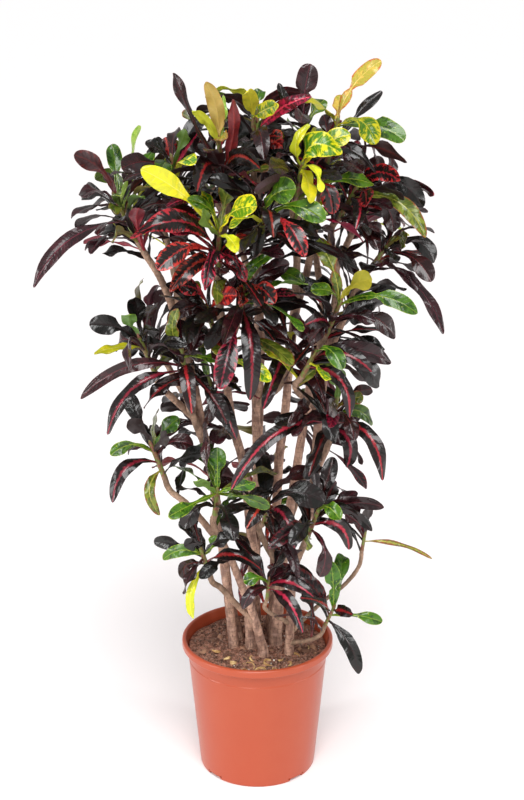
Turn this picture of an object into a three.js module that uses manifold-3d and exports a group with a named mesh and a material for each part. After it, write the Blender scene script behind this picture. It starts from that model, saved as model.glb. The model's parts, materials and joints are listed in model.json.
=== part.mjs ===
// A croton in its nursery pot: ten woody cuttings stand in potting soil and carry forty leafy shoots.
// The glossy leaves are spoons, straps, waisted blades and twisted curls, dark wine with red and yellow.
// Millimetres, +Z up, the front of the plant towards -Y, the origin under the middle of the pot.
import * as THREE from 'three';
import { mergeVertices } from 'three/addons/utils/BufferGeometryUtils.js';
import Module from 'manifold-3d';

const wasm = await Module();
wasm.setup();

// Pot, a 24 cm nursery pot of injected plastic
const POT_HEIGHT = 220;
const RIM_RADIUS = 120;
const BODY_TOP_RADIUS = 113;
const FOOT_RADIUS = 92.5;
const WALL = 2.2;
const LIP_HEIGHT = 12;
const LIP_ROUND = 4;
const LEDGE_DROP = 34;
const LEDGE_STEP = 0.6;
const FOOT_RING_WIDTH = 8;
const FOOT_ROUND = 1.5;
const FLOOR_LIFT = 3;
const BOSS_RADIUS = 16;
const POT_SIDES = 30;
const NOTCHES = 4;
const NOTCH_TURN = 42;
const NOTCH_WIDTH = 26;
const NOTCH_HEIGHT = 5;
const DRAINS = 4;
const DRAIN_RADIUS = 5;
const DRAIN_SIDES = 8;
const DRAIN_CIRCLE = 62;

// Soil and the fit between the pieces
const GAP = 0.3;
const SOIL_LEVEL = 202;
const SOIL_CROWN = 6;
const SOIL_ROUGH = 1.6;
const SOIL_SIDES = 20;
const SOIL_RINGS = [1, 0.75, 0.4];
const PLANTING_DEPTH = 55;
const COLLAR_RISE = 14;

// Stems and shoots
const TRUNK_SIDES = 5;
const BRANCH_SIDES = 4;
const SHOOT_SIDES = 3;
const TRUNK_STEP = 70;
const BRANCH_STEP = 60;
const LIMB_TIP_RADIUS = 4.4;
const LIMB_TAPER = 0.8;
const LIMB_ARRIVAL = 28;
const LINE_STEPS = 8;
const SHOOT_ROOT_RADIUS = 4.2;
const SHOOT_TIP_RADIUS = 3.2;
const TIP_SPLIT = 0.6;

// Leaves
const BLADE_THICKNESS = 1.8;
const STALK_HALF = 1.4;
const NECK = { spoon: 0.4, waisted: 0.62 };
const FOLD = 0.16;
const GOLDEN_ANGLE = 137.5 * Math.PI / 180;
const SAMPLE_ROWS = 22;
const SAMPLE_COLUMNS = 5;
const FACE_CLEARANCE = 3.4;
const EDGE_CLEARANCE = 5;
const WOOD_CLEARANCE = 3.5;
const ROOT_ZONE = 0.17;
const STALK_SHARE = 0.25;
const STALK_SHARE_ACROSS = 0.1;
const LOWEST_ROOT = 10;
const HAND_TRIES = 40;
const RULE_TRIES = 18;
const FIRST_SEED = 1000;
const SEED_STEP = 77;
const SKIPPED_DRAWS = 5;
const YOUNG_LEAF = { tilt: 0.35, length: 78 };
const OLD_LEAF = { tilt: 1.65, length: 132 };
const OLD_AGE = 0.42;
const DROOP = 0.2;

const COLOURS = {
  pot: '#c9643f', soil: '#4a3327', bark: '#8d7358', dark: '#3a161d', bright: '#86a52c',
};

// Each stem is a list of limbs. The first stands in the soil at its foot. A later one grows from the
// first at the height of its fork. Each runs through hand-placed points to the shoot that it carries.
const STEMS = {
  stem_01: [
    { foot: [-31, 14], radius: 8, shoot: 'back_west',
      via: [[-44, 20, 272], [-53, 24, 330], [-62, 42, 420], [-80, 62, 520], [-99, 82, 620],
        [-118, 98, 730]] },
    { fork: 400, radius: 5, shoot: 'low_back_west', via: [] },
    { fork: 545, radius: 5.5, shoot: 'mid_back_west', via: [] },
  ],
  stem_02: [
    { foot: [9, -42], radius: 7.5, shoot: 'green_front',
      via: [[-6, -50, 280], [-24, -60, 336], [-42, -70, 390]] },
    { fork: 390, radius: 5.5, shoot: 'low_west', via: [[-78, -75, 444], [-106, -72, 476]] },
    { fork: 268, radius: 5, shoot: 'low_left', via: [[-32, -54, 300], [-55, -68, 335]] },
  ],
  stem_03: [
    { foot: [-9, -18], radius: 9.5, shoot: 'front_gold',
      via: [[-12, -14, 272], [-4, -4, 351], [-10, -4, 400], [-20, -12, 509], [-38, -22, 590],
        [-46, -46, 674], [-50, -62, 740]] },
    { fork: 560, radius: 5, shoot: 'mid_centre_west', via: [] },
    { fork: 668, radius: 5, shoot: 'upper_front_west', via: [] },
    { fork: 700, radius: 5, shoot: 'hanging_front', via: [] },
    { fork: 745, radius: 6, shoot: 'crown_west', via: [[-56, -48, 810], [-50, -42, 870]] },
  ],
  stem_04: [
    { foot: [-3, 18], radius: 9, shoot: 'crown_centre',
      via: [[-4, 20, 300], [-2, 22, 400], [1, 24, 494], [-2, 28, 589], [6, 22, 688], [2, 12, 786],
        [0, 4, 880]] },
    { fork: 600, radius: 5, shoot: 'mid_centre', via: [] },
    { fork: 765, radius: 5.5, shoot: 'centre_front', via: [[2, -30, 805]] },
  ],
  stem_05: [
    { foot: [-8, 46], radius: 8, shoot: 'back_centre',
      via: [[-8, 54, 340], [0, 72, 480], [4, 92, 620], [0, 106, 760], [0, 112, 880]] },
    { fork: 290, radius: 5, shoot: 'low_back', via: [] },
    { fork: 500, radius: 5.5, shoot: 'mid_back', via: [] },
    { fork: 680, radius: 5.5, shoot: 'back_low_centre', via: [] },
    { fork: 740, radius: 5.5, shoot: 'back_north_west', via: [[-26, 128, 820]] },
  ],
  stem_06: [
    { foot: [25, 26], radius: 8.5, shoot: 'crown_east',
      via: [[28, 34, 350], [33, 40, 493], [42, 40, 573], [48, 32, 650], [56, 16, 760], [60, 2, 870]] },
    { fork: 700, radius: 5.5, shoot: 'bright_front', via: [[58, -12, 790], [56, -44, 860]] },
    { fork: 740, radius: 6, shoot: 'crown_far_east', via: [[76, 18, 820]] },
  ],
  stem_07: [
    { foot: [28, -3], radius: 10.5, shoot: 'east_high',
      via: [[34, -2, 299], [42, -2, 368], [66, -10, 410], [84, -18, 450], [88, -28, 510], [92, -30, 600],
        [104, -24, 700], [116, -20, 800]] },
    { fork: 512, radius: 6, shoot: 'right_front', via: [] },
    { fork: 610, radius: 6, shoot: 'mid_east', via: [] },
    { fork: 640, radius: 6, shoot: 'east_front', via: [] },
    { fork: 690, radius: 6, shoot: 'east_mid', via: [] },
  ],
  stem_08: [
    { foot: [50, -36], radius: 7, shoot: 'low_east', via: [[52, -48, 300], [58, -66, 370]] },
    { fork: 325, radius: 5, shoot: 'low_centre', via: [] },
    { fork: 226, radius: 4.5, shoot: 'rim_east', via: [[74, -58, 240]] },
    { fork: 244, radius: 4.5, shoot: 'twig_east', via: [[96, -26, 286], [136, -20, 318]] },
    { fork: 262, radius: 4.5, shoot: 'rim_front', via: [] },
  ],
  stem_09: [
    { foot: [-38, -16], radius: 8, shoot: 'west_high',
      via: [[-46, -12, 300], [-54, -16, 390], [-66, -22, 480], [-82, -26, 580], [-100, -30, 680],
        [-118, -32, 750], [-138, -40, 810]] },
    { fork: 540, radius: 5.5, shoot: 'mid_west_front', via: [[-96, -52, 610]] },
    { fork: 585, radius: 5.5, shoot: 'mid_west', via: [] },
    { fork: 750, radius: 5.5, shoot: 'west_top', via: [[-114, -28, 830]] },
  ],
  stem_10: [
    { foot: [22, 56], radius: 8.5, shoot: 'back_east',
      via: [[40, 62, 330], [58, 72, 450], [76, 80, 570], [92, 86, 680], [116, 92, 780]] },
    { fork: 370, radius: 5, shoot: 'low_back_east', via: [] },
    { fork: 560, radius: 5.5, shoot: 'mid_back_east', via: [] },
    { fork: 730, radius: 5.5, shoot: 'back_north_east', via: [[88, 120, 820]] },
  ],
};

// Each shoot has its foot, the way it leans, its length, how many leaves it holds and their colours.
// A leaf placed by hand gives its tip from the foot of the shoot, then width, form, tone and rise.
const SHOOTS = {
  west_high: { foot: [-175, -45, 880], lean: [-40, -5, 83], length: 60, leaves: 11, mix: 'wine',
    hand: [
      [-80, -15, 115, 26, 'spoon', 'rededge', 14], [-80, -55, 75, 36, 'spoon', 'maroon', 26],
      [-70, -45, 40, 26, 'waisted', 'maroon', 22], [-45, 25, 115, 27, 'spoon', 'green', 8],
      [-15, 45, 125, 31, 'spoon', 'lime', 6], [-45, -45, 105, 36, 'spoon', 'maroon', 10],
      [-145, -15, -75, 22, 'strap', 'maroon', 26], [20, 55, 110, 25, 'spoon', 'green', 6],
    ] },
  west_top: { foot: [-110, -20, 915], lean: [-15, -10, 97], length: 70, leaves: 11, mix: 'wine',
    hand: [
      [-45, -20, 95, 19, 'spoon', 'black', 6], [-40, 40, 90, 19, 'spoon', 'black', 6],
      [-20, -60, 65, 28, 'spoon', 'green', 14], [5, -45, 115, 20, 'spoon', 'green', 6],
      [25, -10, 110, 26, 'strap', 'redrib', 8], [-80, -70, 70, 32, 'spoon', 'maroon', 18],
    ] },
  front_gold: { foot: [-55, -85, 840], lean: [5, -25, 95], length: 55, leaves: 14, mix: 'gold', tip: true,
    hand: [
      [-100, -65, 150, 31, 'spoon', 'yellow', 12], [55, -65, 100, 38, 'spoon', 'variegated', 14],
      [0, -65, 100, 24, 'spoon', 'green', 6], [-32, -62, 92, 20, 'spoon', 'green', 8],
      [-60, -85, 50, 24, 'curl', 'gold', 24], [-25, -115, 55, 25, 'spoon', 'gold', 20],
      [-110, -60, 60, 34, 'curl', 'rededge', 46], [-80, -75, 15, 30, 'spoon', 'rededge', 26],
      [-55, -85, -5, 28, 'curl', 'rededge', 30], [-15, -90, -10, 30, 'curl', 'rededge', 34],
      [30, -85, 0, 24, 'curl', 'rededge', 30],
    ] },
  crown_west: { foot: [-45, -40, 940], lean: [-12, -10, 98], length: 75, leaves: 14, mix: 'red', tip: true,
    hand: [
      [-70, -20, 165, 28, 'waisted', 'maroon', 10], [4, -88, 88, 19, 'strap', 'gold', 8], [-25, -20, 155, 22, 'strap', 'gold', 8],
      [-35, -45, 118, 15, 'curl', 'yellow', 12], [10, 10, 145, 12, 'strap', 'lime', 4],
      [15, -30, 135, 20, 'strap', 'crimson', 4],
      [-35, -110, 20, 26, 'strap', 'redrib', 30], [50, -100, 50, 24, 'strap', 'redrib', 24],
      [-80, -60, 60, 26, 'strap', 'redrib', 20],
    ] },
  crown_centre: { foot: [-5, 0, 990], lean: [0, -10, 99], length: 55, leaves: 12, mix: 'bright', tip: true,
    hand: [
      [-8, -55, 92, 22, 'strap', 'variegated', 5], [25, -75, 86, 24, 'strap', 'variegated', 8],
      [10, 20, 85, 21, 'spoon', 'green', 5], [-20, 15, 78, 20, 'spoon', 'black', 6],
      [80, -60, 85, 20, 'strap', 'crimson', 12], [50, -65, 50, 24, 'spoon', 'rededge', 18],
      [20, -85, 10, 26, 'strap', 'maroon', 24],
    ] },
  crown_east: { foot: [65, -10, 970], lean: [4, -5, 99], length: 65, leaves: 12, mix: 'wine',
    hand: [
      [10, -5, 145, 31, 'waisted', 'maroon', 5], [-15, 10, 120, 16, 'strap', 'black', 6],
      [25, 30, 95, 24, 'spoon', 'green', 8], [-5, -85, 75, 28, 'spoon', 'maroon', 22],
      [-30, -60, 65, 24, 'spoon', 'black', 16], [30, -70, 95, 25, 'spoon', 'green', 12],
    ] },
  crown_far_east: { foot: [100, 0, 970], lean: [22, 0, 95], length: 65, leaves: 13, mix: 'gold', tip: true,
    hand: [
      [75, 0, 148, 23, 'waisted', 'gold', 12], [108, -30, 40, 31, 'waisted', 'green', 14],
      [20, 10, 120, 26, 'spoon', 'gold', 5], [105, -40, 75, 30, 'waisted', 'black', 14],
      [74, 30, 102, 18, 'waisted', 'black', 10], [65, -60, 40, 31, 'spoon', 'variegated', 22],
      [5, 35, 62, 23, 'spoon', 'maroon', 10],
    ] },
  bright_front: { foot: [55, -70, 940], lean: [15, -35, 90], length: 50, leaves: 11, mix: 'bright', tip: true,
    hand: [
      [60, -60, 68, 34, 'curl', 'variegated', 24], [72, -20, 88, 30, 'spoon', 'variegated', 10],
      [40, -75, 20, 24, 'curl', 'yellow', 26], [34, -60, 100, 19, 'strap', 'yellow', 8],
      [50, -30, -20, 26, 'spoon', 'rededge', 30], [-10, -90, 40, 26, 'spoon', 'rededge', 26],
    ] },
  east_high: { foot: [120, -20, 900], lean: [45, -10, 85], length: 60, leaves: 12, mix: 'wine',
    hand: [
      [80, -45, 60, 25, 'strap', 'rededge', 18], [82, 40, 50, 21, 'spoon', 'black', 12],
      [120, -10, 15, 29, 'spoon', 'black', 30], [118, -50, -20, 24, 'strap', 'olive', 28],
      [90, -20, -30, 30, 'spoon', 'maroon', 36], [40, -80, 40, 26, 'spoon', 'rededge', 22],
      [20, -80, 5, 24, 'strap', 'redrib', 26],
    ] },
  east_mid: { foot: [165, -10, 820], lean: [50, -10, 75], length: 55, leaves: 11, mix: 'wine',
    hand: [
      [92, -10, 12, 33, 'spoon', 'black', 26], [82, -40, -15, 31, 'spoon', 'maroon', 28],
      [35, -55, 42, 28, 'spoon', 'olive', 16], [107, -30, -90, 19, 'strap', 'maroon', 18],
      [55, 40, 35, 28, 'spoon', 'black', 16],
    ] },
  centre_front: { foot: [5, -95, 880], lean: [10, -35, 90], length: 50, leaves: 10, mix: 'mixed',
    hand: [
      [48, -50, 82, 37, 'spoon', 'green', 14], [88, -50, 40, 29, 'spoon', 'green', 24],
      [10, -95, 35, 26, 'strap', 'redrib', 26], [60, -90, 0, 26, 'spoon', 'rededge', 30],
      [22, -100, 70, 24, 'strap', 'redrib', 16],
    ] },
  east_front: { foot: [100, -60, 735], lean: [30, -30, 85], length: 60, leaves: 12, mix: 'mixed', tip: true,
    hand: [
      [60, -60, 97, 29, 'spoon', 'variegated', 10], [126, -50, 45, 25, 'waisted', 'green', 22],
      [25, -90, 65, 28, 'spoon', 'maroon', 20], [100, 0, -5, 27, 'spoon', 'maroon', 30],
      [168, -5, -20, 23, 'waisted', 'maroon', 22], [-25, -60, 85, 24, 'spoon', 'green', 14],
    ] },
  mid_east: { foot: [66, -84, 680], lean: [30, -40, 75], length: 50, leaves: 9, mix: 'wine',
    hand: [
      [126, -10, 22, 27, 'strap', 'maroon', 26], [110, -5, -15, 33, 'spoon', 'black', 32],
      [96, -45, 20, 24, 'strap', 'redrib', 24], [54, -66, 30, 24, 'spoon', 'green', 24],
      [66, -40, -50, 20, 'strap', 'redrib', 34],
    ] },
  mid_west: { foot: [-150, -60, 680], lean: [-35, -10, 90], length: 55, leaves: 11, mix: 'mixed',
    hand: [
      [-90, -20, 75, 29, 'waisted', 'black', 12], [-90, -45, 62, 15, 'strap', 'yellow', 14],
      [-40, -30, 95, 27, 'waisted', 'green', 8], [0, -15, 68, 31, 'spoon', 'black', 8],
      [-62, 40, 20, 24, 'strap', 'maroon', 22], [-45, -80, 30, 26, 'spoon', 'maroon', 22],
    ] },
  mid_west_front: { foot: [-105, -80, 675], lean: [-5, -25, 95], length: 55, leaves: 12, mix: 'mixed',
    hand: [
      [-147, -35, -20, 19, 'strap', 'maroon', 28], [-110, -45, -70, 22, 'strap', 'redrib', 36],
      [14, -85, -25, 22, 'strap', 'redrib', 32], [32, -20, 82, 28, 'curl', 'maroon', 10],
      [8, -45, 102, 22, 'strap', 'olive', 8], [48, -50, 55, 26, 'spoon', 'green', 18],
      [-10, 25, 88, 26, 'spoon', 'maroon', 8],
    ] },
  low_west: { foot: [-140, -55, 515], lean: [-30, -15, 90], length: 55, leaves: 12, mix: 'mixed',
    hand: [
      [-50, -25, 92, 25, 'spoon', 'black', 8], [-75, -35, 45, 19, 'spoon', 'green', 16],
      [-50, 5, 45, 24, 'spoon', 'maroon', 12], [-72, -55, -22, 21, 'strap', 'redrib', 30],
      [25, 0, 90, 25, 'spoon', 'green', 8], [15, -48, 94, 26, 'spoon', 'black', 10],
      [45, -10, 50, 26, 'spoon', 'maroon', 18], [-5, -35, -50, 16, 'strap', 'olive', 30],
    ] },
  green_front: { foot: [-63, -86, 465], lean: [8, -40, 85], length: 50, leaves: 12, mix: 'leafy', tip: true,
    hand: [
      [5, -25, 115, 27, 'spoon', 'green', 5], [-25, -65, 95, 28, 'spoon', 'green', 12],
      [55, -55, 88, 26, 'spoon', 'green', 14], [88, -48, 42, 24, 'spoon', 'green', 16],
      [-38, -88, 58, 25, 'spoon', 'green', 20], [50, -85, 10, 30, 'spoon', 'black', 28],
      [-45, -40, -5, 26, 'spoon', 'black', 26], [75, -40, -20, 28, 'strap', 'black', 30],
    ] },
  low_left: { foot: [-74, -86, 374], lean: [-20, -35, 85], length: 45, leaves: 10, mix: 'mixed',
    hand: [
      [-22, -35, -64, 13, 'strap', 'yellow', 26], [-28, -25, 50, 24, 'spoon', 'black', 10],
      [-52, -25, 32, 22, 'strap', 'green', 16], [-50, -55, 5, 23, 'strap', 'maroon', 22],
      [12, 5, 48, 22, 'spoon', 'green', 6], [-30, -20, -32, 22, 'strap', 'maroon', 26],
      [75, -20, 0, 22, 'strap', 'redrib', 24],
    ] },
  rim_front: { foot: [15, -92, 330], lean: [5, -40, 85], length: 45, leaves: 9, mix: 'wine',
    hand: [
      [-25, -30, 42, 22, 'spoon', 'green', 8], [52, -70, -22, 22, 'strap', 'redrib', 28],
      [26, -38, 82, 20, 'strap', 'maroon', 8], [80, -40, 36, 22, 'strap', 'redrib', 24],
      [-45, -45, 5, 20, 'strap', 'maroon', 22],
    ] },
  low_east: { foot: [76, -92, 434], lean: [25, -35, 85], length: 50, leaves: 11, mix: 'mixed',
    hand: [
      [110, -20, 52, 21, 'strap', 'maroon', 22], [95, -35, 28, 19, 'strap', 'black', 26],
      [44, -60, 50, 23, 'spoon', 'green', 18], [70, 5, 70, 24, 'spoon', 'maroon', 12],
      [17, -40, -50, 24, 'spoon', 'maroon', 30], [0, -62, 96, 24, 'spoon', 'black', 10],
      [60, -20, -15, 20, 'strap', 'redrib', 28],
    ] },
  rim_east: { foot: [104, -80, 279], lean: [25, -40, 80], length: 45, leaves: 9, mix: 'mixed',
    hand: [
      [50, -35, -65, 22, 'strap', 'black', 16], [86, -10, 10, 19, 'spoon', 'green', 8],
      [5, -30, 120, 24, 'waisted', 'green', 4], [-42, -60, 68, 22, 'strap', 'redrib', 14],
      [42, -50, 62, 21, 'strap', 'redrib', 14],
    ] },
  twig_east: { foot: [162, -20, 377], lean: [15, 0, 98], length: 30, leaves: 5, mix: 'mixed',
    hand: [
      [109, 0, -15, 7, 'strap', 'olive', 10], [-27, 0, 60, 19, 'spoon', 'maroon', 6],
    ] },
  right_front: { foot: [109, -45, 580], lean: [15, -20, 95], length: 55, leaves: 13, mix: 'mixed',
    hand: [
      [5, -40, 106, 27, 'spoon', 'green', 6], [74, -65, -52, 23, 'strap', 'redrib', 38],
      [-140, -95, -55, 24, 'strap', 'redrib', 48], [38, -15, 60, 24, 'spoon', 'olive', 12],
      [62, 28, 58, 22, 'spoon', 'maroon', 12], [32, -65, 10, 22, 'spoon', 'maroon', 20],
      [62, 8, 8, 20, 'strap', 'green', 20], [24, -30, -45, 23, 'strap', 'redrib', 26],
    ] },
  low_centre: { foot: [10, -60, 441], lean: [15, -35, 90], length: 45, leaves: 9, mix: 'wine',
    hand: [
      [88, -75, 62, 37, 'spoon', 'black', 22], [50, -10, 75, 27, 'spoon', 'maroon', 10],
      [45, -75, -10, 25, 'strap', 'redrib', 30], [-25, -75, 20, 24, 'strap', 'redrib', 20],
    ] },
  mid_centre_west: { foot: [-58, -30, 617], lean: [-25, -25, 90], length: 45, leaves: 8, mix: 'wine',
    hand: [
      [-75, -80, 70, 24, 'strap', 'maroon', 20], [-80, 10, 60, 24, 'spoon', 'maroon', 20],
      [28, -80, -25, 24, 'strap', 'redrib', 30],
    ] },
  mid_centre: { foot: [39, 10, 656], lean: [20, -25, 90], length: 45, leaves: 9, mix: 'wine',
    hand: [
      [24, -55, 102, 26, 'spoon', 'maroon', 10], [60, -95, -25, 24, 'strap', 'maroon', 30],
      [-30, -115, -20, 25, 'strap', 'redrib', 40],
    ] },
  upper_front_west: { foot: [-61, -50, 732], lean: [-20, -35, 85], length: 50, leaves: 9, mix: 'red',
    hand: [
      [-50, -60, 88, 26, 'spoon', 'rededge', 14], [-66, -40, 30, 25, 'strap', 'maroon', 22],
      [-35, -75, 5, 24, 'strap', 'maroon', 26],
    ] },
  hanging_front: { foot: [-25, -80, 775], lean: [15, -40, 80], length: 45, leaves: 9, mix: 'red',
    hand: [
      [15, -70, -110, 26, 'strap', 'redrib', 34], [50, -70, 30, 26, 'spoon', 'rededge', 20],
      [-10, -80, 30, 26, 'curl', 'rededge', 22],
    ] },
  back_west: { foot: [-150, 115, 860], lean: [-40, 30, 80], length: 60, leaves: 9, mix: 'wine' },
  back_north_west: { foot: [-70, 150, 920], lean: [-20, 35, 90], length: 60, leaves: 10, mix: 'mixed' },
  back_centre: { foot: [0, 110, 985], lean: [0, 12, 99], length: 60, leaves: 9, mix: 'gold' },
  back_north_east: { foot: [75, 160, 915], lean: [20, 40, 85], length: 60, leaves: 10, mix: 'red' },
  back_east: { foot: [155, 100, 870], lean: [45, 25, 80], length: 60, leaves: 9, mix: 'mixed' },
  back_low_centre: { foot: [0, 190, 830], lean: [0, 50, 80], length: 55, leaves: 9, mix: 'wine' },
  mid_back_west: { foot: [-150, 120, 650], lean: [-45, 30, 80], length: 55, leaves: 8, mix: 'mixed' },
  mid_back_east: { foot: [130, 130, 690], lean: [40, 35, 80], length: 55, leaves: 8, mix: 'wine' },
  mid_back: { foot: [-10, 170, 660], lean: [-5, 50, 80], length: 55, leaves: 8, mix: 'red' },
  low_back_west: { foot: [-85, 110, 500], lean: [-35, 45, 80], length: 50, leaves: 8, mix: 'wine' },
  low_back_east: { foot: [90, 115, 490], lean: [35, 45, 80], length: 50, leaves: 8, mix: 'mixed' },
  low_back: { foot: [0, 125, 385], lean: [0, 50, 80], length: 45, leaves: 7, mix: 'mixed' },
};

// Tones that the rule deals out, old leaves first, then the young ones at the top of a shoot
const MIXES = {
  wine: { old: ['maroon', 'black', 'redrib', 'maroon'], young: ['maroon', 'black', 'green'] },
  red: { old: ['rededge', 'redrib', 'maroon', 'crimson'], young: ['rededge', 'crimson', 'green'] },
  mixed: { old: ['maroon', 'redrib', 'black', 'rededge'], young: ['green', 'olive', 'maroon'] },
  gold: { old: ['rededge', 'maroon', 'black', 'redrib'], young: ['gold', 'yellow', 'green'] },
  leafy: { old: ['green', 'black', 'maroon', 'olive'], young: ['green', 'lime', 'green'] },
  bright: { old: ['maroon', 'rededge', 'black', 'green'], young: ['variegated', 'green', 'yellow'] },
};
const FORMS = ['spoon', 'strap', 'spoon', 'waisted', 'spoon', 'strap', 'curl'];
const BRIGHT = new Set(['green', 'variegated', 'yellow', 'gold', 'lime', 'olive']);

// How far from the pot's axis the rule lets a leaf reach, at each height
const OUTLINE = [[250, 110], [330, 140], [400, 170], [470, 195], [560, 190], [640, 215], [700, 205],
  [760, 195], [800, 235], [860, 265], [930, 262], [1000, 220], [1050, 150], [1085, 70], [1100, 0]];

// Where a blade of each form is cut into sections, along its midrib
const SECTIONS = {
  spoon: [0, 0.42, 0.71, 0.92],
  strap: [0, 0.24, 0.55, 0.84],
  waisted: [0, 0.33, 0.5, 0.71, 0.93],
  curl: [0, 0.26, 0.52, 0.8],
};
const WIDTHS = { spoon: [23, 9], strap: [16, 6], waisted: [23, 6], curl: [22, 7] };

const UP = new THREE.Vector3(0, 0, 1);
const FRONT = new THREE.Vector3(0, -0.94, 0.34);
const FACING_PLACE = 0.6;
const FACING_SHARE = 0.9;

function vector(values) {
  return new THREE.Vector3(...values);
}

function mix(low, high, share) {
  return low + (high - low) * share;
}

function smooth(low, high, value) {
  const share = Math.min(1, Math.max(0, (value - low) / (high - low)));
  return share * share * (3 - 2 * share);
}

// Random draws that repeat: each shoot has its own seed
function drawer(seed) {
  let state = seed;
  return () => {
    state = (state * 1664525 + 1013904223) % 4294967296;
    return state / 4294967296;
  };
}

// A closed solid from corners and faces
function solid(corners, faces) {
  const vertProperties = new Float32Array(corners.flatMap((corner) => [corner.x, corner.y, corner.z]));
  const triVerts = new Uint32Array(faces.flat());
  return new wasm.Manifold(new wasm.Mesh({ numProp: 3, vertProperties, triVerts }));
}

function solidFromGeometry(geometry) {
  const bare = geometry.clone();
  bare.deleteAttribute('normal');
  bare.deleteAttribute('uv');
  const merged = mergeVertices(bare);
  return new wasm.Manifold(new wasm.Mesh({
    numProp: 3,
    vertProperties: new Float32Array(merged.attributes.position.array),
    triVerts: new Uint32Array(merged.index.array),
  }));
}

function geometryFromSolid(body) {
  const mesh = body.getMesh();
  const geometry = new THREE.BufferGeometry();
  geometry.setAttribute('position', new THREE.BufferAttribute(new Float32Array(mesh.vertProperties), 3));
  geometry.setIndex(new THREE.BufferAttribute(new Uint32Array(mesh.triVerts), 1));
  return geometry;
}

// A round limb: a ring at each centre, square to the way there, with flat ends
function limbSolid(centres, ways, radii, sides) {
  const corners = [];
  const faces = [];
  let across = new THREE.Vector3(1, 0, 0);
  centres.forEach((centre, row) => {
    const way = ways[row];
    across = across.clone().addScaledVector(way, -across.dot(way)).normalize();
    const third = new THREE.Vector3().crossVectors(way, across);
    for (let side = 0; side < sides; side += 1) {
      const turn = 2 * Math.PI * side / sides;
      corners.push(centre.clone()
        .addScaledVector(across, radii[row] * Math.cos(turn))
        .addScaledVector(third, radii[row] * Math.sin(turn)));
    }
  });
  for (let row = 0; row < centres.length - 1; row += 1) {
    for (let side = 0; side < sides; side += 1) {
      const next = (side + 1) % sides;
      const a = row * sides + side;
      const b = row * sides + next;
      faces.push([a, b, b + sides], [a, b + sides, a + sides]);
    }
  }
  const last = (centres.length - 1) * sides;
  for (let side = 1; side < sides - 1; side += 1) {
    faces.push([0, side + 1, side], [last, last + side, last + side + 1]);
  }
  return solid(corners, faces);
}

// The line that a limb follows, with its radius at each point
function limbLine(limb, parent) {
  const shoot = SHOOTS[limb.shoot];
  const end = vector(shoot.foot);
  const lean = vector(shoot.lean).normalize();
  const points = [];
  if (limb.foot) {
    points.push(new THREE.Vector3(limb.foot[0], limb.foot[1], SOIL_LEVEL + COLLAR_RISE));
  } else {
    const place = parent.line.findIndex((point) => point.z >= limb.fork);
    const above = parent.line[place];
    const below = parent.line[place - 1];
    points.push(below.clone().lerp(above, (limb.fork - below.z) / (above.z - below.z)));
  }
  points.push(...limb.via.map(vector), end.clone().addScaledVector(lean, -LIMB_ARRIVAL), end);
  const curve = new THREE.CatmullRomCurve3(points, false, 'catmullrom', 0.5);
  const steps = LINE_STEPS * (points.length - 1);
  const line = curve.getPoints(steps);
  const radii = line.map((point, step) => mix(limb.radius, LIMB_TIP_RADIUS, (step / steps) ** LIMB_TAPER));
  return { ...limb, line, radii, lean };
}

// Every limb of every stem
function growStems() {
  const stems = {};
  for (const [name, limbs] of Object.entries(STEMS)) {
    const grown = [];
    for (const limb of limbs) {
      grown.push(limbLine(limb, grown[0]));
    }
    stems[name] = grown;
  }
  return stems;
}

// Points along the wood that leaves keep clear of, each with the radius there
function woodPoints(stems) {
  const wood = [];
  for (const limbs of Object.values(stems)) {
    for (const { line, radii } of limbs) {
      line.forEach((point, at) => wood.push({ point, radius: radii[at] }));
    }
  }
  return wood;
}

// Half the width of a blade at a share of its length
function halfWidth(form, width, at) {
  if (form === 'spoon' || form === 'waisted') {
    const neck = mix(STALK_HALF, NECK[form] * width / 2, smooth(0.02, 0.3, at));
    let half = mix(neck, width / 2, smooth(0.4, 0.72, at));
    if (at > 0.78) half *= Math.sqrt(Math.max(0, 1 - ((at - 0.78) / 0.22) ** 2));
    if (form === 'waisted') half *= 1 - 0.78 * Math.exp(-(((at - 0.5) / 0.06) ** 2));
    return half;
  }
  const half = mix(STALK_HALF, width / 2, smooth(0.03, 0.42, at));
  return at > 0.45 ? half * (1 - ((at - 0.45) / 0.55) ** 2.2) : half;
}

// Where a blade is at a share of its length: its midrib, the way across it and its upper side
function bladeFrame(leaf, at) {
  const rest = 1 - at;
  const middle = leaf.root.clone().multiplyScalar(rest * rest)
    .addScaledVector(leaf.bend, 2 * rest * at)
    .addScaledVector(leaf.tip, at * at);
  const way = leaf.bend.clone().sub(leaf.root).multiplyScalar(rest)
    .addScaledVector(leaf.tip.clone().sub(leaf.bend), at)
    .normalize();
  const flatUp = new THREE.Vector3().crossVectors(way, leaf.side).normalize();
  const flatAcross = new THREE.Vector3().crossVectors(flatUp, way);
  const turn = leaf.roll * smooth(0, 0.4, at) + leaf.twist * at;
  const across = flatAcross.clone().multiplyScalar(Math.cos(turn)).addScaledVector(flatUp, -Math.sin(turn));
  const up = flatUp.clone().multiplyScalar(Math.cos(turn)).addScaledVector(flatAcross, Math.sin(turn));
  return { middle, across, up, half: halfWidth(leaf.form, leaf.width, at) };
}

// How far the blade's surface stands above its midrib, from -1 at one edge to 1 at the other
function bladeLift(leaf, at, over, half) {
  const fold = FOLD * Math.abs(over) * half;
  const wave = leaf.wave * over * Math.sin(leaf.waves * at + leaf.phase) * (half / leaf.width);
  return fold + wave;
}

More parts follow.
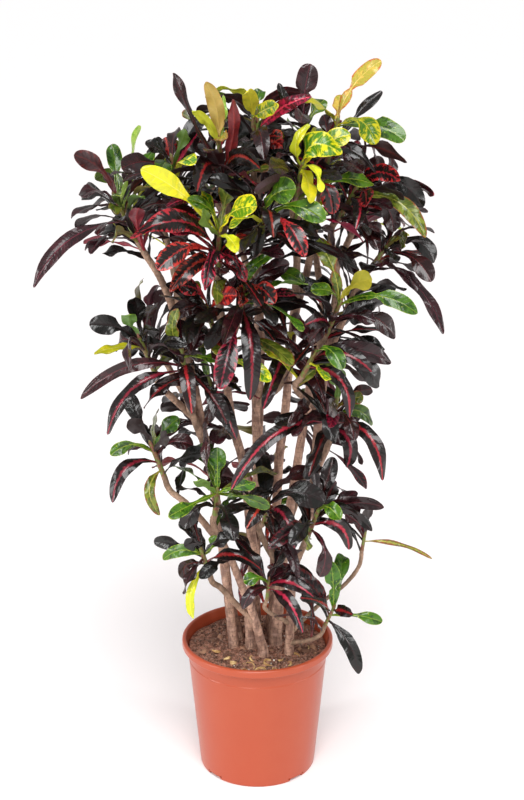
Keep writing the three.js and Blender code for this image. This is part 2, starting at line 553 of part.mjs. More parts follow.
// A blade is three-cornered all along: its two edges and the keel of its midrib underneath
function bladeSolid(leaf) {
  const corners = [];
  const lifts = [];
  for (const at of SECTIONS[leaf.form]) {
    const { middle, across, up, half } = bladeFrame(leaf, at);
    const edges = [-1, 1].map((over) => bladeLift(leaf, at, over, half));
    corners.push(
      middle.clone().addScaledVector(across, -half).addScaledVector(up, edges[0]),
      middle.clone().addScaledVector(across, half).addScaledVector(up, edges[1]),
      middle.clone().addScaledVector(up, -BLADE_THICKNESS / 2),
    );
    lifts.push(edges);
  }
  const faces = [[0, 1, 2]];
  for (let row = 0; row < lifts.length - 1; row += 1) {
    const left = 3 * row;
    const right = left + 1;
    const keel = left + 2;
    const crossing = lifts[row][0] + lifts[row + 1][1] > lifts[row][1] + lifts[row + 1][0];
    if (crossing) faces.push([left, right + 3, right], [left, left + 3, right + 3]);
    else faces.push([left, left + 3, right], [right, left + 3, right + 3]);
    faces.push([left, keel, left + 3], [left + 3, keel, keel + 3]);
    faces.push([right, right + 3, keel], [keel, right + 3, keel + 3]);
  }
  const last = corners.length - 3;
  const tip = corners.length;
  corners.push(leaf.tip.clone());
  faces.push([last, tip, last + 1], [last + 1, tip, last + 2], [last + 2, tip, last]);
  return solid(corners, faces);
}

// Points all over a blade, each with the upper side there
function bladePoints(leaf) {
  const points = [];
  for (let row = 0; row < SAMPLE_ROWS; row += 1) {
    const at = (row + 0.3) / (SAMPLE_ROWS - 0.7);
    const { middle, across, up, half } = bladeFrame(leaf, at);
    for (let column = 0; column < SAMPLE_COLUMNS; column += 1) {
      const over = 2 * column / (SAMPLE_COLUMNS - 1) - 1;
      const point = middle.clone().addScaledVector(across, over * half)
        .addScaledVector(up, bladeLift(leaf, at, over, half));
      points.push({ point, up, at });
    }
  }
  return points;
}

// A leaf from its root on the shoot, its tip and how it bows
function makeLeaf(shoot, root, tip, shape) {
  const chord = tip.clone().sub(root);
  const side = new THREE.Vector3().crossVectors(shoot.way, chord);
  if (side.length() < 0.05 * chord.length()) side.crossVectors(shoot.way, new THREE.Vector3(1, 0, 0));
  side.normalize();
  const bow = new THREE.Vector3().crossVectors(chord, side).normalize();
  const bend = root.clone().lerp(tip, 0.5).addScaledVector(bow, 2 * shape.rise);
  return { ...shape, root, tip, bend, side };
}

// The roll that turns a blade's nearer face towards the front of the plant
function facingRoll(leaf) {
  const { across, up } = bladeFrame({ ...leaf, roll: 0, twist: 0 }, FACING_PLACE);
  const turn = Math.atan2(FRONT.dot(across), FRONT.dot(up));
  return Math.abs(turn) > Math.PI / 2 ? turn - Math.sign(turn) * Math.PI : turn;
}

function clearOfAll(leaf, shoot, leaves, wood, shoots) {
  leaf.points = bladePoints(leaf);
  leaf.centre = leaf.root.clone().add(leaf.tip).add(leaf.bend).multiplyScalar(1 / 3);
  leaf.reach = Math.max(...leaf.points.map(({ point }) => point.distanceTo(leaf.centre)));
  for (const { point, radius } of wood) {
    if (point.distanceTo(leaf.centre) > leaf.reach + radius + WOOD_CLEARANCE) continue;
    for (const sample of leaf.points) {
      if (sample.point.distanceTo(point) < radius + WOOD_CLEARANCE) return false;
    }
  }
  for (const other of shoots) {
    for (const { point, radius, node } of other.points) {
      if (point.distanceTo(leaf.centre) > leaf.reach + radius + WOOD_CLEARANCE) continue;
      let grownIn = 0;
      if (other === shoot) grownIn = node === leaf.node ? STALK_SHARE : STALK_SHARE_ACROSS;
      for (const sample of leaf.points) {
        if (sample.at < grownIn) continue;
        if (sample.point.distanceTo(point) < radius + WOOD_CLEARANCE) return false;
      }
    }
  }
  for (const other of leaves) {
    if (other.centre.distanceTo(leaf.centre) > other.reach + leaf.reach + EDGE_CLEARANCE) continue;
    const shared = other.node === leaf.node ? ROOT_ZONE : 0;
    for (const sample of leaf.points) {
      for (const near of other.points) {
        if (sample.at < shared && near.at < shared) continue;
        const apart = sample.point.clone().sub(near.point);
        const above = Math.abs(apart.dot(near.up));
        if (above < FACE_CLEARANCE && apart.lengthSq() - above * above < EDGE_CLEARANCE ** 2) return false;
      }
    }
  }
  return true;
}

function reachAt(height) {
  for (let row = 1; row < OUTLINE.length; row += 1) {
    const [low, near] = OUTLINE[row - 1];
    const [high, far] = OUTLINE[row];
    if (height <= high) return mix(near, far, Math.max(0, (height - low) / (high - low)));
  }
  return 0;
}

// The straight green stem of a shoot, cut in two where its top has young bright leaves
function growShoots() {
  return Object.entries(SHOOTS).map(([name, row], index) => {
    const way = vector(row.lean).normalize();
    const foot = vector(row.foot);
    const nodes = row.tip ? [`shoot_${name}`, `shoot_${name}_tip`] : [`shoot_${name}`];
    const draw = drawer(FIRST_SEED + SEED_STEP * index);
    const shoot = { hand: [], ...row, name, way, foot, nodes, draw, points: [], held: 0 };
    for (let step = 0; step <= LINE_STEPS; step += 1) {
      const at = step / LINE_STEPS;
      shoot.points.push({
        point: foot.clone().addScaledVector(way, at * row.length),
        radius: mix(SHOOT_ROOT_RADIUS, SHOOT_TIP_RADIUS, at),
        node: row.tip && at > TIP_SPLIT ? nodes[1] : nodes[0],
      });
    }
    for (let skip = 0; skip < SKIPPED_DRAWS; skip += 1) shoot.draw();
    return shoot;
  });
}

// Where on its shoot a leaf of this tone can root: bright ones above the split, dark ones below
function rootShare(shoot, share, bright) {
  const lowest = LOWEST_ROOT / shoot.length;
  if (!shoot.tip) return mix(lowest, 0.95, share);
  return bright ? mix(TIP_SPLIT + 0.16, 0.96, share) : mix(lowest, TIP_SPLIT - 0.16, share);
}

function dress(shoot, shape) {
  shape.node = shoot.tip && BRIGHT.has(shape.tone) ? shoot.nodes[1] : shoot.nodes[0];
  return shape;
}

// A leaf placed by hand, moved a little if it meets another
function handLeaf(shoot, row, attempt) {
  const [x, y, z, width, form, tone, rise] = row;
  const { draw } = shoot;
  const stray = 1.4 * attempt;
  const shift = new THREE.Vector3(draw() - 0.5, draw() - 0.5, draw() - 0.5).multiplyScalar(stray);
  const reach = new THREE.Vector3(x, y, z);
  const tip = shoot.foot.clone().add(reach).add(shift);
  const steep = Math.acos(reach.clone().normalize().dot(shoot.way)) / Math.PI;
  const share = rootShare(shoot, Math.max(0, 1 - 1.5 * steep), BRIGHT.has(tone));
  const root = shoot.foot.clone().addScaledVector(shoot.way, share * shoot.length);
  const curl = form === 'curl' ? 1 : 0;
  const shape = dress(shoot, {
    form, tone,
    width: width * (1 - 0.005 * attempt),
    rise: rise + (draw() - 0.5) * attempt,
    roll: (draw() - 0.5) * (0.5 + 0.06 * attempt),
    twist: (draw() - 0.5) * (0.5 + 1.8 * curl),
    wave: 2 + 5 * draw() * (1 + curl), waves: 9 + 3 * draw(), phase: 6.28 * draw(),
  });
  const leaf = makeLeaf(shoot, root, tip, shape);
  leaf.roll += FACING_SHARE * facingRoll(leaf);
  return leaf;
}

// A leaf by the rule: old ones low, long and hanging, young ones high, short and upright
function ruleLeaf(shoot, index, count, attempt) {
  const { draw } = shoot;
  const age = 1 - (index + 0.5) / count;
  const turn = GOLDEN_ANGLE * index + shoot.start + (draw() - 0.5) * (0.5 + 0.35 * attempt);
  const tilt = mix(YOUNG_LEAF.tilt, OLD_LEAF.tilt, age ** 0.9) + (draw() - 0.5) * (0.4 + 0.06 * attempt);
  const form = FORMS[Math.floor(draw() * FORMS.length)];
  const shades = age > OLD_AGE ? MIXES[shoot.mix].old : MIXES[shoot.mix].young;
  const tone = shades[Math.floor(draw() * shades.length)];
  const usual = mix(YOUNG_LEAF.length, OLD_LEAF.length, age ** 0.6);
  const length = usual * (0.85 + 0.3 * draw()) * (1 - 0.018 * attempt);
  const width = WIDTHS[form][0] + WIDTHS[form][1] * draw() - 0.3 * attempt;
  const flat = new THREE.Vector3().crossVectors(shoot.way, new THREE.Vector3(0, -1, 0)).normalize();
  const third = new THREE.Vector3().crossVectors(shoot.way, flat);
  const out = flat.multiplyScalar(Math.cos(turn)).addScaledVector(third, Math.sin(turn));
  const share = rootShare(shoot, 1 - age, BRIGHT.has(tone));
  const root = shoot.foot.clone().addScaledVector(shoot.way, share * shoot.length);
  const tip = root.clone()
    .addScaledVector(shoot.way, length * Math.cos(tilt))
    .addScaledVector(out, length * Math.sin(tilt));
  tip.z -= DROOP * length * age;
  const curl = form === 'curl' ? 1 : 0;
  const shape = dress(shoot, {
    width, form, tone,
    rise: length * (0.08 + 0.16 * draw()),
    roll: (draw() - 0.5) * 1.6,
    twist: (draw() - 0.5) * (0.6 + 2 * curl),
    wave: 2 + 5 * draw() * (1 + curl), waves: 9 + 3 * draw(), phase: 6.28 * draw(),
  });
  return makeLeaf(shoot, root, tip, shape);
}

function insideOutline(leaf) {
  const { x, y, z } = leaf.tip;
  return z > SOIL_LEVEL + 40 && Math.hypot(x, y) < reachAt(z);
}

// All leaves of the plant, those placed by hand first
function growLeaves(shoots, wood) {
  const leaves = [];
  const ranks = Math.max(...shoots.map((shoot) => shoot.hand.length));
  for (let rank = 0; rank < ranks; rank += 1) {
    for (const shoot of shoots) {
      if (rank >= shoot.hand.length) continue;
      for (let attempt = 0; attempt < HAND_TRIES; attempt += 1) {
        const leaf = handLeaf(shoot, shoot.hand[rank], attempt);
        if (!clearOfAll(leaf, shoot, leaves, wood, shoots)) continue;
        leaves.push(leaf);
        shoot.held += 1;
        break;
      }
    }
  }
  for (const shoot of shoots) {
    const count = shoot.leaves - shoot.held;
    shoot.start = 6.28 * shoot.draw();
    for (let index = 0; index < count; index += 1) {
      for (let attempt = 0; attempt < RULE_TRIES; attempt += 1) {
        const leaf = ruleLeaf(shoot, index, count, attempt);
        if (!insideOutline(leaf) || !clearOfAll(leaf, shoot, leaves, wood, shoots)) continue;
        leaves.push(leaf);
        shoot.held += 1;
        break;
      }
    }
  }
  return leaves;
}

// The pot: foot ring, raised floor with a flat boss, tapered wall, rolled lip, drain holes and foot notches
function makePot() {
  const wallTop = POT_HEIGHT - LIP_HEIGHT;
  const ledge = POT_HEIGHT - LEDGE_DROP;
  const inner = (height) => mix(FOOT_RADIUS, BODY_TOP_RADIUS, height / POT_HEIGHT) - WALL;
  const outer = (height) => inner(height) + WALL;
  const outline = [
    [0, 0], [BOSS_RADIUS, 0], [BOSS_RADIUS + 1, FLOOR_LIFT], [FOOT_RADIUS - FOOT_RING_WIDTH, FLOOR_LIFT],
    [FOOT_RADIUS - FOOT_RING_WIDTH + FOOT_ROUND, 0], [FOOT_RADIUS - FOOT_ROUND, 0],
    [outer(FOOT_ROUND), FOOT_ROUND], [outer(ledge) - LEDGE_STEP, ledge], [outer(wallTop), wallTop],
    [RIM_RADIUS - LIP_ROUND / 2, wallTop], [RIM_RADIUS, wallTop + LIP_ROUND],
    [RIM_RADIUS - LIP_ROUND, POT_HEIGHT], [inner(POT_HEIGHT) + LIP_ROUND / 2, POT_HEIGHT],
    [inner(wallTop), wallTop],
    [inner(FLOOR_LIFT + WALL), FLOOR_LIFT + WALL], [0, FLOOR_LIFT + WALL],
  ];
  const shell = new THREE.LatheGeometry(outline.map(([x, y]) => new THREE.Vector2(x, y)), POT_SIDES);
  shell.rotateX(Math.PI / 2);
  let pot = solidFromGeometry(shell);
  for (let notch = 0; notch < NOTCHES; notch += 1) {
    const cut = new THREE.BoxGeometry(4 * FOOT_RING_WIDTH, NOTCH_WIDTH, 2 * NOTCH_HEIGHT);
    cut.translate(FOOT_RADIUS, 0, 0);
    cut.rotateZ(2 * Math.PI * notch / NOTCHES + NOTCH_TURN * Math.PI / 180);
    pot = pot.subtract(solidFromGeometry(cut));
  }
  for (let drain = 0; drain < DRAINS; drain += 1) {
    const cut = new THREE.CylinderGeometry(DRAIN_RADIUS, DRAIN_RADIUS, 6 * WALL, DRAIN_SIDES);
    cut.rotateX(Math.PI / 2);
    const turn = 2 * Math.PI * (drain + 0.5) / DRAINS;
    cut.translate(DRAIN_CIRCLE * Math.cos(turn), DRAIN_CIRCLE * Math.sin(turn), FLOOR_LIFT);
    pot = pot.subtract(solidFromGeometry(cut));
  }
  return pot;
}

// The soil fills the pot to just under the lip and heaps a little round the stems
function makeSoil(stems) {
  const inner = (height) => mix(FOOT_RADIUS, BODY_TOP_RADIUS, height / POT_HEIGHT) - WALL - GAP;
  const bottom = FLOOR_LIFT + WALL + GAP;
  const corners = [];
  const faces = [];
  const ring = (radius, height) => {
    for (let side = 0; side < SOIL_SIDES; side += 1) {
      const turn = 2 * Math.PI * side / SOIL_SIDES;
      const x = radius * Math.cos(turn);
      const y = radius * Math.sin(turn);
      corners.push(new THREE.Vector3(x, y, height(x, y)));
    }
  };
  const top = (x, y) => SOIL_LEVEL + SOIL_CROWN * (1 - (x * x + y * y) / inner(SOIL_LEVEL) ** 2)
    + SOIL_ROUGH * Math.sin(x / 11) * Math.cos(y / 13);
  const shrink = Math.cos(Math.PI / POT_SIDES);
  ring(inner(bottom) * shrink, () => bottom);
  for (const share of SOIL_RINGS) ring(inner(SOIL_LEVEL) * shrink * share, top);
  corners.push(new THREE.Vector3(0, 0, bottom), new THREE.Vector3(0, 0, top(0, 0)));
  const rings = SOIL_RINGS.length + 1;
  const under = rings * SOIL_SIDES;
  for (let side = 0; side < SOIL_SIDES; side += 1) {
    const next = (side + 1) % SOIL_SIDES;
    for (let row = 0; row < rings - 1; row += 1) {
      const low = row * SOIL_SIDES;
      const high = low + SOIL_SIDES;
      faces.push([low + side, low + next, high + next], [low + side, high + next, high + side]);
    }
    const last = (rings - 1) * SOIL_SIDES;
    faces.push([under, next, side], [under + 1, last + side, last + next]);
  }
  let soil = solid(corners, faces);
  for (const [trunk] of Object.values(stems)) {
    const radius = trunk.radius + GAP / Math.cos(Math.PI / TRUNK_SIDES);
    const [x, y] = trunk.foot;
    const centres = [SOIL_LEVEL - PLANTING_DEPTH - GAP, SOIL_LEVEL + COLLAR_RISE - GAP];
    soil = soil.subtract(limbSolid(centres.map((z) => new THREE.Vector3(x, y, z)), [UP, UP], [radius, radius],
      TRUNK_SIDES));
  }
  return soil;
}

// A stem is its trunk with its side limbs grown into it
function makeStem(limbs) {
  const bodies = limbs.map((limb) => {
    const sides = limb.foot ? TRUNK_SIDES : BRANCH_SIDES;
    const step = limb.foot ? TRUNK_STEP : BRANCH_STEP;
    const curve = new THREE.CatmullRomCurve3(limb.line, false, 'catmullrom', 0.5);
    const count = Math.max(2, Math.round(curve.getLength() / step));
    const centres = [];
    const ways = [];
    const radii = [];
    if (limb.foot) {
      centres.push(new THREE.Vector3(limb.foot[0], limb.foot[1], SOIL_LEVEL - PLANTING_DEPTH));
      ways.push(UP);
      radii.push(limb.radius);
    }
    for (let row = 0; row <= count; row += 1) {
      const place = row / count;
      centres.push(curve.getPoint(place));
      ways.push(row === count ? limb.lean : curve.getTangent(place));
      radii.push(mix(limb.radius, LIMB_TIP_RADIUS, place ** LIMB_TAPER));
    }
    if (limb.foot) ways[1] = UP;
    return limbSolid(centres, ways, radii, sides);
  });
  return bodies.reduce((stem, limb) => stem.add(limb));
}

// A stretch of a shoot's green stem
function shootStretch(shoot, from, to) {
  const ends = [from, to].map((at) => shoot.foot.clone().addScaledVector(shoot.way, at));
  const radii = [from, to].map((at) => mix(SHOOT_ROOT_RADIUS, SHOOT_TIP_RADIUS, at / shoot.length));
  return limbSolid(ends, [shoot.way, shoot.way], radii, SHOOT_SIDES);
}

// Each shoot's node or two: a stretch of green stem with its leaves grown into it
function makeShoot(shoot, leaves) {
  const split = shoot.tip ? TIP_SPLIT * shoot.length : shoot.length;
  const stretches = [[GAP, split], [split + GAP, shoot.length]];
  return shoot.nodes.map((node, index) => {
    const own = leaves.filter((leaf) => leaf.node === node);
    const stem = shootStretch(shoot, ...stretches[index]);
    return [node, own.reduce((body, leaf) => body.add(bladeSolid(leaf)), stem)];
  });
}

function place(group, name, body, material) {
  const mesh = new THREE.Mesh(geometryFromSolid(body), material);
  mesh.name = name;
  group.add(mesh);
}

const croton = new THREE.Group();
const stems = growStems();
const shoots = growShoots();
const leaves = growLeaves(shoots, woodPoints(stems));
const finish = (colour, roughness) => new THREE.MeshStandardMaterial({ color: COLOURS[colour], roughness });
place(croton, 'pot', makePot(), finish('pot', 0.45));
place(croton, 'soil', makeSoil(stems), finish('soil', 0.95));
for (const [name, limbs] of Object.entries(stems)) place(croton, name, makeStem(limbs), finish('bark', 0.85));
for (const shoot of shoots) {
  for (const [node, body] of makeShoot(shoot, leaves)) {
    place(croton, node, body, finish(node.endsWith('_tip') ? 'bright' : 'dark', 0.35));
  }
}

export default croton;
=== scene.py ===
# %% [markdown]
# # A potted croton
#
# We dress a croton in its nursery pot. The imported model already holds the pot, the soil, ten woody
# stems and forty leafy shoots at their real size and place. Each of them gets a finer piece here,
# made around it in the same frame, and nothing that the model holds is moved.

import json
import math
from types import SimpleNamespace

import bpy
import numpy as np
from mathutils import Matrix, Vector, noise

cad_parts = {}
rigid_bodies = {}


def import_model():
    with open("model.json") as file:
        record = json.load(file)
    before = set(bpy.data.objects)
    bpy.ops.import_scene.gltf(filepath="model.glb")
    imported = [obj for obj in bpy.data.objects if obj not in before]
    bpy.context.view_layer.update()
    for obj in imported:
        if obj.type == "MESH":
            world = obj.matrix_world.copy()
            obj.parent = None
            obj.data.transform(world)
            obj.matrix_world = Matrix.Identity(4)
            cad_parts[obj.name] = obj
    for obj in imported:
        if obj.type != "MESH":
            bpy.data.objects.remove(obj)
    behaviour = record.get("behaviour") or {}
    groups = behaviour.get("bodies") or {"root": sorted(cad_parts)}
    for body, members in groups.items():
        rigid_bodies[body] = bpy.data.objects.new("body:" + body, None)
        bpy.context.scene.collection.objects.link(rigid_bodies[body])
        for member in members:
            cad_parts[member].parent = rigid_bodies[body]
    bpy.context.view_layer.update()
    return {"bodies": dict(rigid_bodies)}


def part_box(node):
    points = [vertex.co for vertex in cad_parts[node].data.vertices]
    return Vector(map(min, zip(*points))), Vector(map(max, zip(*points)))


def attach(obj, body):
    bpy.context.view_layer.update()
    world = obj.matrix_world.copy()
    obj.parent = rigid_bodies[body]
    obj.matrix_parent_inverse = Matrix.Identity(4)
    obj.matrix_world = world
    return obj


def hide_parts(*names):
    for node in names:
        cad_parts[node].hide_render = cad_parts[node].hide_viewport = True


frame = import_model()
BODY = next(iter(frame["bodies"]))

# %% [markdown]
# ## A few tools for the bench
#
# Sizes are easiest to think of in millimetres, and Blender works in metres, so one value turns one
# into the other. Operators act on whatever is selected, and the loaded nodes arrive selected, so we
# always clear the selection before we add something. A modifier is applied as soon as it has done
# its work.

# %% Bench tools
MM = 0.001


def clear_selection():
    if bpy.context.object and bpy.context.object.mode != "OBJECT":
        bpy.ops.object.mode_set(mode="OBJECT")
    bpy.ops.object.select_all(action="DESELECT")


def add(operator, **settings):
    """The object that an operator adds, with nothing else selected."""
    clear_selection()
    operator(**settings)
    return bpy.context.object


def take(piece):
    clear_selection()
    piece.select_set(True)
    bpy.context.view_layer.objects.active = piece


def edit_all():
    bpy.ops.object.mode_set(mode="EDIT")
    bpy.ops.mesh.select_all(action="SELECT")


def face_outwards():
    """All faces of the piece in edit mode point outwards, and edit mode ends."""
    bpy.ops.mesh.select_all(action="SELECT")
    bpy.ops.mesh.normals_make_consistent(inside=False)
    bpy.ops.object.mode_set(mode="OBJECT")


def apply_modifier(piece, kind, **settings):
    take(piece)
    modifier = piece.modifiers.new(kind.title(), kind)
    for setting, value in settings.items():
        setattr(modifier, setting, value)
    bpy.ops.object.modifier_apply(modifier=modifier.name)


def settle(piece):
    """The object's own place goes into its mesh."""
    take(piece)
    bpy.ops.object.transform_apply(location=True, rotation=True, scale=True)


def shade(piece, degrees):
    take(piece)
    bpy.ops.object.shade_smooth_by_angle(angle=math.radians(degrees))


# %% [markdown]
# What repeats is modelled once as a blank, whose corners and faces are read off as arrays. Its copies
# are shaped and stacked into one mesh, which keeps its place while its object stays at the origin. A
# finished piece rides on the plant's one body, and stands for its node of the model.

# %% From blanks to pieces
def seat(piece, slot, *nodes):
    """The piece rides on the body and stands for its nodes, which are hidden; the slot is not used."""
    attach(piece, BODY)
    if nodes:
        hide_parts(*nodes)
    print(f"{piece.name}: {len(piece.data.polygons)} faces")


def read_off(blank):
    """The corners and faces of a blank, which is then thrown away."""
    corners = np.array([corner.co for corner in blank.data.vertices])
    faces = np.array([face.vertices for face in blank.data.polygons])
    bpy.data.objects.remove(blank)
    return corners, faces


def thin_slab(rows, columns):
    """The corners and faces of a flat grid made a slab by Solidify, from -1 to 1 each way."""
    grid = add(bpy.ops.mesh.primitive_grid_add, x_subdivisions=rows, y_subdivisions=columns, size=2)
    apply_modifier(grid, "SOLIDIFY", thickness=2.0, offset=0.0)
    return read_off(grid)


def stack(copies):
    """Copies, each of corners, faces and any other columns, as one of each."""
    starts = np.cumsum([0] + [len(copy[0]) for copy in copies])
    columns = list(zip(*copies))
    columns[1] = [faces + start for faces, start in zip(columns[1], starts)]
    return [np.concatenate(column) for column in columns]


def build(name, corners, faces, degrees, slot, *nodes, **attributes):
    """A seated piece from corners in millimetres, faces of one number of sides, and its attributes."""
    mesh = bpy.data.meshes.new(name)
    faces = faces.astype(np.int32)
    mesh.vertices.add(len(corners))
    mesh.vertices.foreach_set("co", (corners * MM).ravel())
    mesh.loops.add(faces.size)
    mesh.loops.foreach_set("vertex_index", faces.ravel())
    mesh.polygons.add(len(faces))
    mesh.polygons.foreach_set("loop_start", np.arange(0, faces.size, faces.shape[1], dtype=np.int32))
    mesh.update(calc_edges=True)
    for attribute, values in attributes.items():
        mesh.attributes.new(attribute, "FLOAT_VECTOR", "POINT").data.foreach_set("vector", values.ravel())
    piece = bpy.data.objects.new(name, mesh)
    bpy.context.collection.objects.link(piece)
    shade(piece, degrees)
    seat(piece, slot, *nodes)
    return piece


# %% [markdown]
# Three small helpers with numbers: a straight way between two values, a soft step between them, and
# random draws. The draws come from one multiplication and one addition, so that they are the same in
# every program and on every computer.

# %% Slopes and draws
def mix(low, high, share):
    return low + (high - low) * share


def smooth(low, high, value):
    share = np.clip((value - low) / (high - low), 0.0, 1.0)
    return share * share * (3 - 2 * share)


def drawer(seed):
    """Random draws that repeat, the same ones that the solids were made with."""
    state = seed

    def draw():
        nonlocal state
        state = (state * 1664525 + 1013904223) % 4294967296
        return state / 4294967296

    return draw


# %% [markdown]
# ## Paint
#
# A finish is a small tree of nodes. Writing each link by hand takes many lines, so a paint pot does
# it for us: it makes a material and adds the few kinds of node that we need, each in one call. What
# comes out of a node is a wire, and a sum of wires and numbers, written as usual, adds Math nodes. The
# colours are written as they look on a screen, and turned into the linear ones that Blender uses.

# %% Colours and wires
def paint(code):
    """A colour as it looks on a screen, such as #d66e50, as Blender's linear colour."""
    parts = [int(code[at:at + 2], 16) / 255 for at in (1, 3, 5)]
    return (*[part / 12.92 if part <= 0.04045 else ((part + 0.055) / 1.055) ** 2.4 for part in parts], 1.0)


def reckoning(operation, turned_round=False):
    def reckon(wire, other):
        return wire.pot.sum(operation, *((other, wire) if turned_round else (wire, other)))
    return reckon


class Wire:
    """What comes out of a socket."""

    def __init__(self, pot, socket):
        self.pot, self.socket = pot, socket

    __add__, __radd__ = reckoning("ADD"), reckoning("ADD", True)
    __sub__, __rsub__ = reckoning("SUBTRACT"), reckoning("SUBTRACT", True)
    __mul__, __truediv__ = reckoning("MULTIPLY"), reckoning("DIVIDE")


# %% [markdown]
# The paint pot itself has one method for each kind of node: a soft ramp, a blend of two colours, grains
# of noise, a bump and so on. A constant goes straight onto the shader's own socket.

# %% A paint pot
class PaintPot:
    """A material whose nodes are added one call at a time."""

    def __init__(self, name):
        self.material = bpy.data.materials.new(name)
        self.material.use_nodes = True
        self.tree = self.material.node_tree
        self.shader = self.tree.nodes["Principled BSDF"]

    def feed(self, socket, value):
        """A socket gets a wire, a number or a colour, and None leaves it as it is."""
        if isinstance(value, Wire):
            self.tree.links.new(value.socket, socket)
        elif value is not None:
            socket.default_value = paint(value) if isinstance(value, str) else value

    def fill(self, node, **values):
        """Sockets of a node are fed by name, with _ for a space."""
        for name, value in values.items():
            self.feed(node.inputs[name.replace("_", " ")], value)
        return Wire(self, node.outputs[0])

    def node(self, kind, *values, **settings):
        """A new node with its first sockets fed in their order."""
        node = self.tree.nodes.new(kind)
        for setting, value in settings.items():
            setattr(node, setting, value)
        for socket, value in zip(node.inputs, values):
            self.feed(socket, value)
        return node

    def sum(self, operation, *values):
        return self.fill(self.node("ShaderNodeMath", *values, operation=operation))

    def ramp(self, value, low, high):
        """0 below low, 1 above high, and a soft step between."""
        soft = dict(interpolation_type="SMOOTHSTEP")
        return self.fill(self.node("ShaderNodeMapRange", value, low, high, 0.0, 1.0, **soft))

    def blend(self, share, first, second):
        """The first colour where share is 0, and the second where it is 1."""
        node = self.node("ShaderNodeMix", data_type="RGBA")
        for name, value in (("Factor", share), ("A", first), ("B", second)):
            socket = next(s for s in node.inputs if s.name == name and (name == "Factor" or s.type == "RGBA"))
            self.feed(socket, value)
        return Wire(self, next(s for s in node.outputs if s.type == "RGBA"))

    def place(self):
        return Wire(self, self.node("ShaderNodeTexCoord").outputs["Object"])

    def parts(self, vector):
        return [Wire(self, socket) for socket in self.node("ShaderNodeSeparateXYZ", vector).outputs]

    def attribute(self, name):
        """The three numbers of an attribute."""
        return self.parts(Wire(self, self.node("ShaderNodeAttribute", attribute_name=name).outputs["Vector"]))

    def join(self, x, y, z):
        return self.fill(self.node("ShaderNodeCombineXYZ", x, y, z))

    def stretch(self, vector, scale):
        return self.fill(self.node("ShaderNodeMapping"), Vector=vector, Scale=scale)

    def grain(self, vector, scale, detail=3.0, roughness=0.55):
        noise_node = self.node("ShaderNodeTexNoise")
        return self.fill(noise_node, Vector=vector, Scale=scale, Detail=detail, Roughness=roughness)

    def tint(self, colour, hue, value):
        return self.fill(self.node("ShaderNodeHueSaturation"), Hue=hue, Value=value, Color=colour)

    def bump(self, height, strength, distance, under=None):
        bump_node = self.node("ShaderNodeBump")
        return self.fill(bump_node, Strength=strength, Distance=distance, Height=height, Normal=under)

    def finish(self, **sockets):
        """The shader is fed by name, and the material is ready."""
        self.fill(self.shader, **sockets)
        return self.material

# %% [markdown]
# ## The pot
#
# A nursery pot is a thin shell of injected plastic: a tapered wall, a rolled lip to lift it by, a
# foot ring, and a floor a few millimetres off the ground. It is round, so we draw half of its
# section once, as a chain of points pushed out one after another, and spin that chain about the
# pot's axis. Its height and width are read from the loaded pot.

# %% Spin the pot
POT_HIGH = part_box("pot")[1]
POT_HEIGHT = POT_HIGH.z / MM
RIM_RADIUS = POT_HIGH.y / MM
BODY_TOP_RADIUS = 113
FOOT_RADIUS = 92.5
WALL = 2.2
LIP_HEIGHT = 12
LIP_FLARE = 2.6
LEDGE_DROP = 34
FOOT_RING = 8
FLOOR_LIFT = 3
BOSS_RADIUS = 16
SPIN_STEPS = 128


def wall_radius(height):
    return mix(FOOT_RADIUS, BODY_TOP_RADIUS, height / POT_HEIGHT)


def arc(centre, radii, start, end, count):
    """Points round an ellipse, from one angle to another in degrees."""
    turns = np.radians(np.linspace(start, end, count))
    return [(centre[0] + radii[0] * math.cos(turn), centre[1] + radii[1] * math.sin(turn)) for turn in turns]


def pot_section():
    lip = POT_HEIGHT - LIP_HEIGHT
    ledge = POT_HEIGHT - LEDGE_DROP
    inner = wall_radius(POT_HEIGHT) - WALL
    return [
        (BOSS_RADIUS, 0.0), (BOSS_RADIUS + 1, FLOOR_LIFT), (FOOT_RADIUS - FOOT_RING, FLOOR_LIFT),
        (FOOT_RADIUS - FOOT_RING + 1.5, 0.0),
        *arc((FOOT_RADIUS - 2.5, 2.5), (2.5, 2.5), -90, 0, 5),
        (wall_radius(12), 12), (wall_radius(60), 60), (wall_radius(120), 120), (wall_radius(170), 170),
        (wall_radius(ledge - 3), ledge - 3), (wall_radius(ledge) - 0.1, ledge - 1),
        (wall_radius(ledge) - 0.7, ledge), (wall_radius(ledge) - 0.6, ledge + 2),
        (wall_radius(lip - 5) - 0.4, lip - 5), (wall_radius(lip) - 0.2, lip - 1.2),
        (wall_radius(lip) + 1.0, lip - 0.2), (RIM_RADIUS - 2.2, lip - 0.6),
        *arc((RIM_RADIUS - 1.6, lip + 1.2), (1.6, 1.8), -80, 0, 6), (RIM_RADIUS, POT_HEIGHT - 4.5),
        *arc((RIM_RADIUS - 4, POT_HEIGHT - 3.6), (4, 3.6), 12, 90, 8),
        *arc((inner + LIP_FLARE + 2.4, POT_HEIGHT - 2.4), (2.4, 2.4), 90, 180, 5),
        (inner - 0.1, POT_HEIGHT - 11), (wall_radius(120) - WALL, 120),
        *arc((wall_radius(8) - WALL - 4, FLOOR_LIFT + WALL + 4), (4, 4), 0, -90, 5),
        (20, FLOOR_LIFT + WALL), (0.0, FLOOR_LIFT + WALL),
    ]


